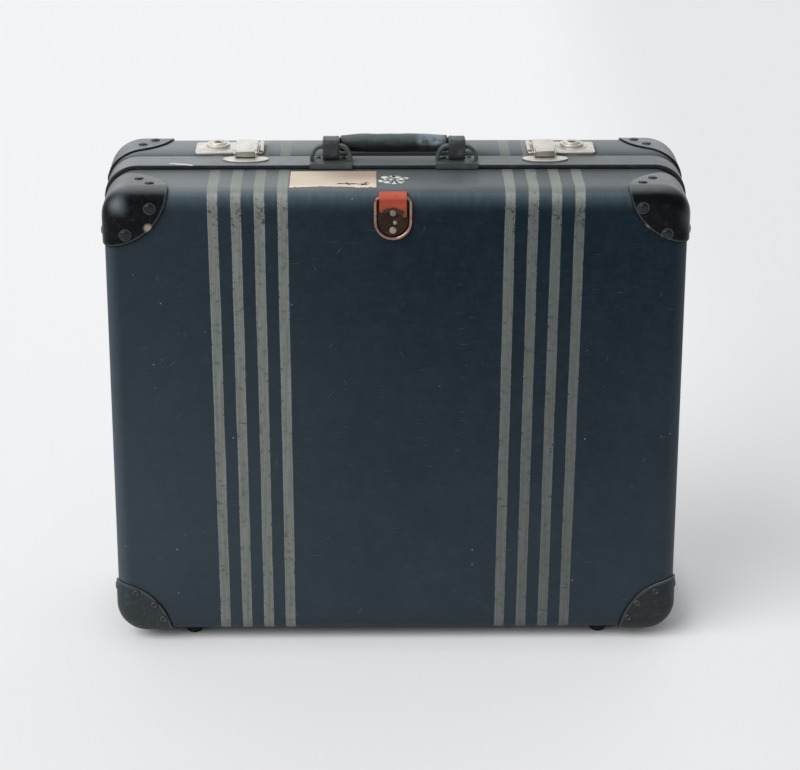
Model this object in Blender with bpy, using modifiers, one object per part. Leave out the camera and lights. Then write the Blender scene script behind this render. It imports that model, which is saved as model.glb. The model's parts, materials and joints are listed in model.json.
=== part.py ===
"""Hard-shell travel suitcase of pressed fibre, standing on its hinge side with the handle on top.

Metres, +X to the right, +Y to the back, +Z up. The origin is on the floor under the middle of the case.
The deep front half is the base. The shallower back half is the lid, which swings back about its floor edge.
"""

import math

import bmesh
import bpy
from mathutils import Matrix, Vector

# Driving sizes of the case
PAN_WIDTH = 0.604
PAN_HEIGHT = 0.500
PAN_STEP = 0.0785
BASE_DEPTH = 0.1158
LID_DEPTH = 0.0757
BAND_PROUD = 0.005
FOOT_HEIGHT = 0.006

# Clearances
SEAT_GAP = 0.0003
SEAM_GAP = 0.0008
RUNNING_GAP = 0.0003
OVERRUN = 0.002
TINY = 0.000001
SMOOTH_ANGLE = 40
ROUNDED_ANGLE = 50
ARC_PROFILE = 0.5

# Shells and linings
PAN_WALL = 0.0022
PAN_CORNER = 0.030
PAN_EDGE = 0.016
TONGUE_DEPTH = 0.008
LID_WALL = 0.0025
LID_EDGE = 0.016
BAND_ROUND = 0.0014
LINING_THICKNESS = 0.0008
LINING_SETBACK = 0.002
CORNER_STEPS = 6
EDGE_STEPS = 4
SMALL_CORNER_STEPS = 3
SMALL_EDGE_STEPS = 2

# Corner guards and their rivets
GUARD_REACH = 0.0645
GUARD_THICKNESS = 0.002
GUARD_STEPS = 32
RIVET_RADIUS = 0.0048
RIVET_TOP_RADIUS = 0.0028
RIVET_HEIGHT = 0.0013
RIVET_STEPS = 8
GUARD_RIVET_REACH = 0.052
TOP_FACE_RIVET_ANGLES = (21, 64)
BOTTOM_FACE_RIVET_ANGLES = (20, 43, 68)
EDGE_RIVET_ANGLES = (24, 47)

# Feet
FOOT_RADIUS = 0.009
FOOT_TOE_RADIUS = 0.0065
FOOT_FLANGE = 0.0018
FOOT_STEPS = 20
FOOT_INSET = 0.080
BASE_FOOT_SETBACK = 0.028
LID_FOOT_SETBACK = 0.052

# Lid hinges
HINGE_INSET = 0.144
HINGE_WIDTH = 0.044
HINGE_REACH = 0.017
LEAF_THICKNESS = 0.0012
KNUCKLE_RADIUS = 0.0022
KNUCKLE_CLEARANCE = 0.0006
MIDDLE_KNUCKLE = 0.016
LEAF_RIVET_SPREAD = 0.0125
LEAF_RIVET_REACH = 0.0098
LEAF_RIVET_RADIUS = 0.003
LEAF_RIVET_HEIGHT = 0.001
HINGE_PIN_RADIUS = 0.001
PIN_HEAD_RADIUS = 0.0016
PIN_HEAD_LENGTH = 0.0008
ROUND_STEPS = 16

# Handle
MOUNT_SPREAD = 0.0664
HANDLE_OFFSET = -0.0017
HANDLE_SETBACK = 0.023
MOUNT_WIDTH = 0.045
MOUNT_BACK = 0.0145
MOUNT_THICKNESS = 0.0015
MOUNT_DRAPE = 0.0042
MOUNT_RIVET_SPREAD = 0.0135
MOUNT_RIVET_SETBACK = 0.0095
ARCH_WIDTH = 0.045
ARCH_HEIGHT = 0.0185
ARCH_BAR = 0.0205
ARCH_STRIP = 0.003
ARCH_DEPTH = 0.0085
ARCH_STEPS = 6
GRIP_BEHIND_AXIS = 0.021
GRIP_BELOW_AXIS = 0.0040
GRIP_RADIUS = 0.0106
GRIP_SHOULDER_RADIUS = 0.0088
GRIP_END_RADIUS = 0.0062
GRIP_RISE = 0.0015
GRIP_LENGTH = 0.150
GRIP_NECK = 0.004
GRIP_TAPER = 0.026
GRIP_RESOLUTION = 4
STRAP_WIDTH = 0.0175
STRAP_THICKNESS = 0.0022
STRAP_CLEARANCE = 0.0007
STRAP_HANG = 0.0133
STRAP_FRONT = 0.0076
STRAP_BEND = 0.0028
STRAP_FLAT = 0.005
STRAP_BACK_ANGLES = (-100, 80)
STRAP_FRONT_ANGLES = (180, 290)

# Ring and its leather tab
RING_CENTRE = -0.0036
RING_WIDTH = 0.0395
RING_HEIGHT = 0.0465
RING_WIRE = 0.003
RING_RESOLUTION = 2
RING_TOP_ROUND = 0.0055
RING_DROP = 0.0075
TAB_WIDTH = 0.0284
TAB_THICKNESS = 0.0016
TAB_TOP_DROP = 0.0033
TAB_FALL = 0.0190
TAB_CLEARANCE = 0.0005
TAB_WRAP_ANGLES = (110, 225)
BACKING_THICKNESS = 0.0014
BACKING_CLEARANCE = 0.0012
BACKING_FALL = 0.0065
TAB_RIVET_RADIUS = 0.0033
TAB_RIVET_HEIGHT = 0.0012
TAB_RIVET_DROPS = (0.0158, 0.0263, 0.0346)
TAB_RIVET_SHIFTS = (0.0, 0.0022, 0.0)

# Hasps
HASP_PLACE_SHARE = 0.52483
HASP_SETBACK = 0.014
OVAL_WIDTH = 0.0485
OVAL_DEPTH = 0.024
OVAL_THICKNESS = 0.0013
OVAL_SHIFT = -0.0032
OVAL_STEPS = 28
FOLD_HALF = 0.0031
FOLD_WIDTH = 0.0195
FOLD_INSET = 0.0001
FOLD_EDGE = 0.0005
EAR_WIDTH = 0.0018
EAR_RADIUS = 0.0031
HASP_PIN_RADIUS = 0.0012
HASP_WIDTH = 0.0236
HASP_REACH = 0.0455
HASP_THICKNESS = 0.0009
HASP_SKIRT = 0.0050
HASP_CORNER = 0.0024
HASP_EDGE = 0.0011
STAPLE_WIDTH = 0.002
STAPLE_DEPTH = 0.007
STAPLE_FOOT = 0.0008
STAPLE_SETBACK = 0.014
STAPLE_CLEARANCE = 0.0008

# Locks
LOCK_SHIFT = 0.0185
LOCK_WIDTH = 0.073
LOCK_DEPTH = 0.0425
LOCK_SETBACK = 0.0006
LOCK_HEIGHT = 0.003
LOCK_WALL = 0.0008
LOCK_CORNER = 0.004
LOCK_EDGE = 0.0012
BACKPLATE_THICKNESS = 0.0005
BUTTON_SHIFT = 0.031
BUTTON_SETBACK = 0.0245
BUTTON_TRAVEL = 0.005
BOSS_RADIUS = 0.0154
BOSS_TOP_RADIUS = 0.0138
BOSS_HEIGHT = 0.0012
BUTTON_RADIUS = 0.0128
BUTTON_STEP_RADIUS = 0.0094
BUTTON_RIM_HEIGHT = 0.0024
BUTTON_STEP_HEIGHT = 0.0014
BUTTON_STEPS = 28
STEM_RADIUS = 0.0055
PLUG_RADIUS = 0.0040
KEY_SLOT_LENGTH = 0.0046
KEY_SLOT_WIDTH = 0.0014
KEY_SLOT_DEPTH = 0.0022
SLIDE_DEPTH = 0.018
SLIDE_THICKNESS = 0.0010
SLIDE_TAIL = 0.010
NOSE_DEPTH = 0.005
NOSE_CLEARANCE = 0.0004
SPRING_THICKNESS = 0.0003
SPRING_DEPTH = 0.0012
SPRING_REACH_SHARE = 0.62
SPRING_STEPS = 8
CURL_RADIUS = 0.0026

# Places worked out from the sizes
FOOT_SPREAD = PAN_WIDTH / 2 - FOOT_INSET
HINGE_SPREAD = PAN_WIDTH / 2 - HINGE_INSET
HASP_SPREAD = HASP_PLACE_SHARE * PAN_WIDTH / 2
LOCK_SPREAD = HASP_SPREAD + LOCK_SHIFT
BUTTON_SPREAD = HASP_SPREAD + BUTTON_SHIFT
GUARD_PROUD = SEAT_GAP + GUARD_THICKNESS
RING_AXIS_PROUD = SEAT_GAP + RING_WIRE / 2
TAB_INNER_RADIUS = RING_WIRE / 2 + TAB_CLEARANCE
FRONT_REACH = RING_AXIS_PROUD + TAB_INNER_RADIUS + TAB_THICKNESS
BACK_REACH = GUARD_PROUD + RIVET_HEIGHT
TOTAL_DEPTH = BASE_DEPTH + LID_DEPTH
FRONT_Y = (FRONT_REACH - BACK_REACH - TOTAL_DEPTH) / 2
BAND_FRONT_Y = FRONT_Y + PAN_STEP
SEAM_Y = FRONT_Y + BASE_DEPTH
BACK_Y = FRONT_Y + TOTAL_DEPTH
BAND_WIDTH = PAN_WIDTH + 2 * BAND_PROUD
BAND_HEIGHT = PAN_HEIGHT + 2 * BAND_PROUD
BAND_CORNER = PAN_CORNER + BAND_PROUD
BAND_BOTTOM_Z = FOOT_HEIGHT
PAN_BOTTOM_Z = BAND_BOTTOM_Z + BAND_PROUD
MIDDLE_Z = BAND_BOTTOM_Z + BAND_HEIGHT / 2
BAND_TOP_Z = BAND_BOTTOM_Z + BAND_HEIGHT
PAN_TOP_Z = PAN_BOTTOM_Z + PAN_HEIGHT
HINGE_Z = BAND_BOTTOM_Z - SEAT_GAP - KNUCKLE_RADIUS
ARCH_FOOT_Z = BAND_TOP_Z + SEAT_GAP + MOUNT_THICKNESS + SEAT_GAP
HANDLE_Y = SEAM_Y - HANDLE_SETBACK
HANDLE_Z = BAND_TOP_Z + ARCH_HEIGHT - ARCH_STRIP / 2
RING_Y = FRONT_Y - RING_AXIS_PROUD
RING_Z = PAN_TOP_Z - RING_DROP
OVAL_TOP = SEAT_GAP + OVAL_THICKNESS
HASP_Y = SEAM_Y - HASP_SETBACK
FOLD_SWING = math.hypot(FOLD_HALF, FOLD_HALF)
HASP_Z = BAND_TOP_Z + OVAL_TOP + RUNNING_GAP + FOLD_SWING
LOCK_FRONT_Y = SEAM_Y + LOCK_SETBACK
LOCK_Y = LOCK_FRONT_Y + LOCK_DEPTH / 2
BUTTON_Y = SEAM_Y + BUTTON_SETBACK
STAPLE_Y = SEAM_Y + STAPLE_SETBACK

# Finishes: sRGB colour, roughness, metallic
NAVY_FIBRE = ((38, 50, 62), 0.48, 0.0)
BAND_FIBRE = ((40, 48, 56), 0.45, 0.0)
DARK_LEATHER = ((30, 33, 38), 0.42, 0.0)
GRIP_LEATHER = ((36, 42, 50), 0.40, 0.0)
RED_LEATHER = ((150, 66, 46), 0.55, 0.0)
BROWN_LEATHER = ((62, 44, 38), 0.60, 0.0)
PAPER_LINING = ((176, 160, 132), 0.85, 0.0)
NICKEL = ((202, 200, 192), 0.28, 1.0)
DARK_METAL = ((64, 66, 66), 0.45, 0.8)
WORN_COPPER = ((160, 118, 100), 0.35, 1.0)
PALE_RIVET = ((170, 160, 150), 0.40, 0.9)
RUBBER_FOOT = ((34, 34, 35), 0.70, 0.0)
SPRING_STEEL = ((150, 150, 150), 0.35, 1.0)

# Turns a shape drawn in its own XY plane into the YZ plane
YZ_TURN = (math.pi / 2, 0, math.pi / 2)

places = {}


def clear_scene():
    """Removes the scene's objects."""
    for obj in list(bpy.data.objects):
        bpy.data.objects.remove(obj)


def new_collection(name):
    """A collection linked to the scene."""
    collection = bpy.data.collections.new(name)
    bpy.context.scene.collection.children.link(collection)
    return collection


def linear(channel):
    """An sRGB channel of 0 to 255 as linear light."""
    share = channel / 255
    if share <= 0.04045:
        return share / 12.92
    return ((share + 0.055) / 1.055) ** 2.4


def material_of(name, finish):
    """A Principled BSDF with this finish."""
    colour, roughness, metallic = finish
    material = bpy.data.materials.new(name)
    material.use_nodes = True
    shader = material.node_tree.nodes["Principled BSDF"]
    shader.inputs["Base Color"].default_value = [linear(channel) for channel in colour] + [1]
    shader.inputs["Roughness"].default_value = roughness
    shader.inputs["Metallic"].default_value = metallic
    return material


def add_body(name, place, parent=None):
    """An empty on a body's joint axis, which carries the body's pieces."""
    empty = bpy.data.objects.new(name, None)
    parts.objects.link(empty)
    places[name] = Vector(place)
    put(empty, place, parent)
    return empty


def put(obj, place, body):
    """Places an object at a point of the case's frame, as a child of its body."""
    obj.parent = body
    obj.location = Vector(place) - (places[body.name] if body else Vector())


def add_part(name, data, place, body, finish, turn=(0, 0, 0)):
    """A visible sub-part with its own material, from a bmesh, a mesh or a curve."""
    obj = new_object(name, data, parts, turn)
    put(obj, place, body)
    obj.data.materials.append(material_of(f"{name}_finish", finish))
    return obj


def new_object(name, data, collection, turn=(0, 0, 0)):
    """An object of this data, with smooth shading on a mesh."""
    if isinstance(data, bmesh.types.BMesh):
        bmesh.ops.recalc_face_normals(data, faces=data.faces)
        mesh = bpy.data.meshes.new(name)
        data.to_mesh(mesh)
        data.free()
        data = mesh
    obj = bpy.data.objects.new(name, data)
    collection.objects.link(obj)
    obj.rotation_euler = turn
    if obj.type == "MESH":
        data.shade_smooth()
        data.set_sharp_from_angle(angle=math.radians(SMOOTH_ANGLE))
    return obj


def add_helper(name, data, place, body, turn=(0, 0, 0)):
    """A hidden solid that cuts or joins."""
    obj = new_object(name, data, cutters, turn)
    put(obj, place, body)
    obj.hide_render = True
    obj.display_type = "WIRE"
    return obj


def boolean(obj, helper, operation):
    """Cuts, joins or intersects an object with a helper."""
    modifier = obj.modifiers.new(helper.name, "BOOLEAN")
    modifier.operation = operation
    modifier.solver = "EXACT"
    modifier.object = helper


def solidify(obj, thickness):
    """Gives an open surface its wall, inward from its outer face."""
    modifier = obj.modifiers.new("wall", "SOLIDIFY")
    modifier.thickness = thickness
    modifier.offset = -1
    modifier.use_even_offset = True


def round_edges(obj, width, segments=2):
    """Rounds the sharp edges."""
    modifier = obj.modifiers.new("rounding", "BEVEL")
    modifier.width = width
    modifier.segments = segments
    modifier.limit_method = "ANGLE"
    modifier.angle_limit = math.radians(ROUNDED_ANGLE)


def turned(obj, steps):
    """Turns a profile about its local Z."""
    modifier = obj.modifiers.new("turned", "SCREW")
    modifier.steps = steps
    modifier.render_steps = steps
    modifier.use_merge_vertices = True
    modifier.merge_threshold = TINY
    modifier.use_smooth_shade = True


def box(size, centre=(0, 0, 0)):
    """A block."""
    mesh = bmesh.new()
    bmesh.ops.create_cube(mesh, size=1)
    bmesh.ops.scale(mesh, vec=size, verts=mesh.verts)
    bmesh.ops.translate(mesh, vec=centre, verts=mesh.verts)
    return mesh


def block(low, high):
    """A block between two corners."""
    size = [end - start for start, end in zip(low, high)]
    centre = [(start + end) / 2 for start, end in zip(low, high)]
    return box(size, centre)


def rod(radius, length, along="Z", steps=ROUND_STEPS, top_radius=None):
    """A cylinder, or a cone where its top differs, centred on the origin."""
    mesh = bmesh.new()
    bmesh.ops.create_cone(
        mesh,
        cap_ends=True,
        segments=steps,
        radius1=radius,
        radius2=radius if top_radius is None else top_radius,
        depth=length,
    )
    if along == "X":
        bmesh.ops.rotate(mesh, verts=mesh.verts, matrix=Matrix.Rotation(math.pi / 2, 3, "Y"))
    return mesh


def profile_mesh(points):
    """An open profile in the XZ plane, from (radius, height) pairs."""
    mesh = bmesh.new()
    verts = [mesh.verts.new((radius, 0, height)) for radius, height in points]
    for first, second in zip(verts, verts[1:]):
        mesh.edges.new((first, second))
    return mesh


def small_cover(width, depth, height, corner_radius, edge_radius):
    """A small open box with its closed face on top at z = 0 and its mouth down."""
    mesh = tray_surface(
        width, depth, height, corner_radius, edge_radius,
        corner_steps=SMALL_CORNER_STEPS, edge_steps=SMALL_EDGE_STEPS,
    )
    bmesh.ops.rotate(mesh, verts=mesh.verts, matrix=Matrix.Rotation(-math.pi / 2, 3, "X"))
    return mesh


def faces_along_y(mesh, sign):
    """The faces whose normal points along this end of Y."""
    mesh.normal_update()
    return [face for face in mesh.faces if round(face.normal.y) == sign]


def tray_surface(
    width, height, depth, corner_radius, edge_radius,
    closed=True, corner_steps=CORNER_STEPS, edge_steps=EDGE_STEPS,
):
    """An open box with its closed face at y = 0 and its mouth at y = depth, rounded at corners and rim."""
    mesh = box((width, depth, height), (0, depth / 2, 0))
    lost = faces_along_y(mesh, 1)
    if not closed:
        lost += faces_along_y(mesh, -1)
    bmesh.ops.delete(mesh, geom=lost, context="FACES_ONLY")
    along_y = [edge for edge in mesh.edges if abs(edge.verts[0].co.y - edge.verts[1].co.y) > TINY]
    bevel(mesh, along_y, corner_radius, corner_steps)
    if closed:
        rim = [edge for edge in mesh.edges if all(abs(vert.co.y) < TINY for vert in edge.verts)]
        bevel(mesh, rim, edge_radius, edge_steps)
    return mesh


def bevel(mesh, edges, radius, segments):
    """Rounds these edges of a bmesh with a true arc."""
    bmesh.ops.bevel(
        mesh,
        geom=edges,
        offset=radius,
        offset_type="OFFSET",
        segments=segments,
        profile=ARC_PROFILE,
        affect="EDGES",
        clamp_overlap=False,
    )


def flat_outline(points, thickness):
    """A closed outline in the local XY plane, filled and given a thickness about that plane."""
    curve = bpy.data.curves.new("outline", "CURVE")
    curve.dimensions = "2D"
    curve.fill_mode = "BOTH"
    curve.extrude = thickness / 2
    add_spline(curve, [(x, y, 0) for x, y in points], cyclic=True)
    return curve


def add_spline(curve, points, cyclic=False, radii=None):
    """A straight-run spline through these points."""
    spline = curve.splines.new("POLY")
    spline.points.add(len(points) - 1)
    for index, point in enumerate(points):
        spline.points[index].co = (*point, 1)
        if radii:
            spline.points[index].radius = radii[index]
    spline.use_cyclic_u = cyclic


def arc(centre, radii, start, end, steps):
    """Points of an elliptic arc in a plane, from one angle to another in degrees."""
    angles = [math.radians(start + (end - start) * step / steps) for step in range(steps + 1)]
    return [
        (centre[0] + radii[0] * math.cos(angle), centre[1] + radii[1] * math.sin(angle))
        for angle in angles
    ]


def as_mesh(obj):
    """Turns a curve object into a mesh object with its caps welded."""
    graph = bpy.context.evaluated_depsgraph_get()
    mesh = bpy.data.meshes.new_from_object(obj.evaluated_get(graph))
    welded = bmesh.new()
    welded.from_mesh(mesh)
    bmesh.ops.remove_doubles(welded, verts=welded.verts, dist=TINY)
    bmesh.ops.recalc_face_normals(welded, faces=welded.faces)
    welded.to_mesh(mesh)
    welded.free()
    return mesh


def ribbon(points, width, cyclic=False):
    """A strip standing on a line in the local XY plane."""
    curve = bpy.data.curves.new("ribbon", "CURVE")
    curve.dimensions = "3D"
    curve.extrude = width / 2
    add_spline(curve, [(x, y, 0) for x, y in points], cyclic=cyclic)
    return curve


def thicken(obj, thickness):
    """Gives a strip its thickness, half to each side."""
    modifier = obj.modifiers.new("thickness", "SOLIDIFY")
    modifier.thickness = thickness
    modifier.offset = 0
    modifier.use_even_offset = True


def curve_part(name, curve, place, body, finish, turn=(0, 0, 0)):
    """A sub-part from a curve, made a mesh so that it can be cut and joined."""
    guide = new_object(f"{name}_guide", curve, cutters, turn)
    put(guide, place, body)
    bpy.context.view_layer.update()
    mesh = as_mesh(guide)
    bpy.data.objects.remove(guide)
    return add_part(name, mesh, place, body, finish, turn)


def rivet_heads(spots, radius=RIVET_RADIUS, top_radius=RIVET_TOP_RADIUS, height=RIVET_HEIGHT, sunk=0):
    """Rivet heads, each at a point with its outward normal, sunk a little to join what carries them."""
    heads = bmesh.new()
    for point, normal in spots:
        head = rod(radius, height + sunk, steps=RIVET_STEPS, top_radius=top_radius)
        bmesh.ops.translate(head, vec=(0, 0, (height - sunk) / 2), verts=head.verts)
        turn = Vector((0, 0, 1)).rotation_difference(Vector(normal)).to_matrix().to_4x4()
        bmesh.ops.transform(head, matrix=Matrix.Translation(point) @ turn, verts=head.verts)
        mesh = bpy.data.meshes.new("head")
        head.to_mesh(mesh)
        head.free()
        heads.from_mesh(mesh)
        bpy.data.meshes.remove(mesh)
    return heads


def side_name(side):
    """left or right of the case, as seen from the front."""
    return "left" if side < 0 else "right"


def end_name(end):
    """top or bottom of the case."""
    return "top" if end > 0 else "bottom"


def make_base_shell():
    """The deep pressed pan, with the tongue that enters the lid."""
    surface = tray_surface(PAN_WIDTH, PAN_HEIGHT, BASE_DEPTH + TONGUE_DEPTH, PAN_CORNER, PAN_EDGE)
    shell = add_part("base_shell", surface, (0, FRONT_Y, MIDDLE_Z), base, NAVY_FIBRE)
    solidify(shell, PAN_WALL)


def make_edge_band():
    """The raised band round the pan's mouth."""
    length = BASE_DEPTH - PAN_STEP - SEAM_GAP / 2
    surface = tray_surface(BAND_WIDTH, BAND_HEIGHT, length, BAND_CORNER, 0, closed=False)
    band = add_part("edge_band", surface, (0, BAND_FRONT_Y, MIDDLE_Z), base, BAND_FIBRE)
    solidify(band, BAND_PROUD - SEAT_GAP)
    round_edges(band, BAND_ROUND)


def make_lid_shell():
    """The shallow pressed lid, flush with the band."""
    surface = tray_surface(BAND_WIDTH, BAND_HEIGHT, LID_DEPTH - SEAM_GAP / 2, BAND_CORNER, LID_EDGE)
    shell = add_part("lid_shell", surface, (0, BACK_Y, MIDDLE_Z), lid, NAVY_FIBRE, (0, 0, math.pi))
    solidify(shell, LID_WALL)


def make_lining(name, width, height, depth, corner, edge, wall, y, facing, body):
    """The thin skin glued inside a shell."""
    inset = wall + SEAT_GAP
    surface = tray_surface(
        width - 2 * inset, height - 2 * inset, depth - inset - LINING_SETBACK, corner - inset, edge - inset
    )
    turn = (0, 0, 0) if facing > 0 else (0, 0, math.pi)
    lining = add_part(name, surface, (0, y + facing * inset, MIDDLE_Z), body, PAPER_LINING, turn)
    solidify(lining, LINING_THICKNESS)


def make_guard(name, side, end, width, height, corner, edge, y, facing, body):
    """A moulded guard over one corner, with its rivets: the shell's own shape, cut by a ball."""
    proud = GUARD_PROUD
    turn = (0, 0, 0) if facing > 0 else (0, 0, math.pi)
    place = (0, y - facing * proud, MIDDLE_Z)
    local_side = side * facing
    surface = tray_surface(
        width + 2 * proud, height + 2 * proud, GUARD_REACH + 2 * proud, corner + proud, edge + proud
    )
    guard = add_part(name, surface, place, body, DARK_LEATHER, turn)
    solidify(guard, GUARD_THICKNESS)
    ball = bmesh.new()
    bmesh.ops.create_uvsphere(ball, u_segments=GUARD_STEPS, v_segments=GUARD_STEPS // 2, radius=GUARD_REACH)
    centre = (local_side * width / 2, proud, end * height / 2)
    bmesh.ops.translate(ball, vec=centre, verts=ball.verts)
    boolean(guard, add_helper(f"{name}_ball", ball, place, body, turn), "INTERSECT")
    spots = []
    for angle in TOP_FACE_RIVET_ANGLES if end > 0 else BOTTOM_FACE_RIVET_ANGLES:
        across = GUARD_RIVET_REACH * math.cos(math.radians(angle))
        down = GUARD_RIVET_REACH * math.sin(math.radians(angle))
        spots.append(((centre[0] - local_side * across, 0, centre[2] - end * down), (0, -1, 0)))
    for angle in EDGE_RIVET_ANGLES:
        along = GUARD_RIVET_REACH * math.cos(math.radians(angle))
        back = proud + GUARD_RIVET_REACH * math.sin(math.radians(angle))
        above = (centre[0] - local_side * along, back, centre[2] + end * proud)
        beside = (centre[0] + local_side * proud, back, centre[2] - end * along)
        spots.append((above, (0, 0, end)))
        spots.append((beside, (local_side, 0, 0)))
    rivets = rivet_heads(spots, sunk=GUARD_THICKNESS / 2)
    boolean(guard, add_helper(f"{name}_rivets", rivets, place, body, turn), "UNION")


def make_foot(name, x, y, top, body):
    """A turned stud under the case, flat where it stands."""
    height = top - SEAT_GAP
    points = [
        (0, height),
        (FOOT_RADIUS, height),
        (FOOT_RADIUS, height - FOOT_FLANGE),
        (FOOT_TOE_RADIUS + FOOT_FLANGE, FOOT_FLANGE),
        (FOOT_TOE_RADIUS, 0),
        (0, 0),
    ]
    foot = add_part(name, profile_mesh(points), (x, y, 0), body, RUBBER_FOOT)
    turned(foot, FOOT_STEPS)


def make_hinge_leaf(name, x, facing, knuckles, body):
    """A leaf under one half of the case, with its knuckles round the pin."""
    place = (x, SEAM_Y, HINGE_Z)
    clear = KNUCKLE_RADIUS + KNUCKLE_CLEARANCE
    top = KNUCKLE_RADIUS
    under = top - LEAF_THICKNESS
    inner, outer = sorted((facing * clear, facing * HINGE_REACH))
    plate = block((-HINGE_WIDTH / 2, inner, under), (HINGE_WIDTH / 2, outer, top))
    leaf = add_part(name, plate, place, body, NICKEL)
    for index, (low, high) in enumerate(knuckles):
        low_y, high_y = sorted((0, facing * (clear + OVERRUN)))
        strap = block((low, low_y, under), (high, high_y, top))
        boolean(leaf, add_helper(f"{name}_strap_{index}", strap, place, body), "UNION")
        barrel = rod(KNUCKLE_RADIUS, high - low, "X")
        bmesh.ops.translate(barrel, vec=((low + high) / 2, 0, 0), verts=barrel.verts)
        boolean(leaf, add_helper(f"{name}_knuckle_{index}", barrel, place, body), "UNION")
    bore = rod(HINGE_PIN_RADIUS + RUNNING_GAP, HINGE_WIDTH + OVERRUN, "X")
    boolean(leaf, add_helper(f"{name}_bore", bore, place, body), "DIFFERENCE")
    spots = [
        ((across * LEAF_RIVET_SPREAD, facing * LEAF_RIVET_REACH, under), (0, 0, -1)) for across in (-1, 1)
    ]
    heads = rivet_heads(
        spots, LEAF_RIVET_RADIUS, LEAF_RIVET_RADIUS / 2, LEAF_RIVET_HEIGHT, sunk=LEAF_THICKNESS / 2
    )
    boolean(leaf, add_helper(f"{name}_rivets", heads, place, body), "UNION")


def make_pin(name, place, radius, length, body):
    """A pin along X with a head at each end, just outside what it passes through."""
    half = length / 2 + RUNNING_GAP
    end = half + PIN_HEAD_LENGTH
    head = radius + PIN_HEAD_RADIUS - HINGE_PIN_RADIUS
    points = [(0, end), (head, end), (head, half), (radius, half)]
    points += [(radius, -half), (head, -half), (head, -end), (0, -end)]
    pin = add_part(name, profile_mesh(points), place, body, NICKEL, (0, math.pi / 2, 0))
    turned(pin, ROUND_STEPS)


def make_hinge(side):
    """A butt hinge: the base's two outer knuckles, the lid's middle one, and their pin."""
    name = side_name(side)
    x = side * HINGE_SPREAD
    half = HINGE_WIDTH / 2
    middle = MIDDLE_KNUCKLE / 2
    outer = [(-half, -middle - RUNNING_GAP), (middle + RUNNING_GAP, half)]
    make_hinge_leaf(f"hinge_base_leaf_{name}", x, -1, outer, base)
    make_hinge_leaf(f"hinge_lid_leaf_{name}", x, 1, [(-middle, middle)], lid)
    make_pin(f"hinge_pin_{name}", (x, SEAM_Y, HINGE_Z), HINGE_PIN_RADIUS, HINGE_WIDTH, base)


def make_handle_mount(side):
    """A mount plate draped over the band's front edge, and the arch that stands on it."""
    name = side_name(side)
    x = HANDLE_OFFSET + side * MOUNT_SPREAD
    low = BAND_TOP_Z + SEAT_GAP
    high = low + MOUNT_THICKNESS
    front = BAND_FRONT_Y - SEAT_GAP
    half = MOUNT_WIDTH / 2
    plate = add_part(
        f"handle_mount_{name}",
        block((-half, front - MOUNT_THICKNESS, low), (half, HANDLE_Y + MOUNT_BACK, high)),
        (x, 0, 0),
        base,
        DARK_METAL,
    )
    drape_top = high - MOUNT_THICKNESS / 2
    drape = block((-half, front - MOUNT_THICKNESS, low - MOUNT_DRAPE), (half, front, drape_top))
    boolean(plate, add_helper(f"handle_drape_{name}", drape, (x, 0, 0), base), "UNION")
    rivet_y = HANDLE_Y + MOUNT_RIVET_SETBACK
    spots = [((across * MOUNT_RIVET_SPREAD, rivet_y, high), (0, 0, 1)) for across in (-1, 1)]
    heads = rivet_heads(
        spots, TAB_RIVET_RADIUS, TAB_RIVET_RADIUS / 2, TAB_RIVET_HEIGHT, sunk=MOUNT_THICKNESS / 2
    )
    boolean(plate, add_helper(f"handle_mount_rivets_{name}", heads, (x, 0, 0), base), "UNION")
    make_arch(name, x)


def make_arch(name, x):
    """A half-round strip standing across the mount, with a flat top for the strap."""
    drop = HANDLE_Z - ARCH_FOOT_Z
    shoulder = (ARCH_WIDTH - ARCH_BAR) / 2
    outline = []
    for inset, order in ((0, 1), (ARCH_STRIP, -1)):
        radii = (shoulder - inset, ARCH_STRIP / 2 + drop - inset)
        right = arc((ARCH_BAR / 2, -drop), radii, 0, 90, ARCH_STEPS)
        left = arc((-ARCH_BAR / 2, -drop), radii, 90, 180, ARCH_STEPS)
        outline += (right + left)[::order]
    curve = flat_outline(outline, ARCH_DEPTH)
    turn = (math.pi / 2, 0, 0)
    curve_part(f"handle_arch_{name}", curve, (x, HANDLE_Y, HANDLE_Z), base, DARK_METAL, turn)


def strap_outline():
    """The strap's middle line, seen from the end: round the grip's end, over the bar and down."""
    half = STRAP_THICKNESS / 2
    over_bar = math.hypot(ARCH_DEPTH, ARCH_STRIP) / 2 + STRAP_CLEARANCE + half
    grip = GRIP_END_RADIUS + RUNNING_GAP + half
    back = arc((GRIP_BEHIND_AXIS, -GRIP_BELOW_AXIS), (grip, grip), *STRAP_BACK_ANGLES, ARCH_STEPS)
    bend_centre = (STRAP_BEND - STRAP_FRONT, over_bar - STRAP_BEND)
    bend = arc(bend_centre, (STRAP_BEND, STRAP_BEND), 90, 180, ARCH_STEPS // 2)
    front_centre = (-STRAP_FRONT / 4, -STRAP_HANG / 2)
    front_radii = (STRAP_FRONT + front_centre[0], STRAP_HANG / 2)
    front = arc(front_centre, front_radii, *STRAP_FRONT_ANGLES, ARCH_STEPS)
    return back + [(STRAP_FLAT, over_bar)] + bend + front


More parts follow.
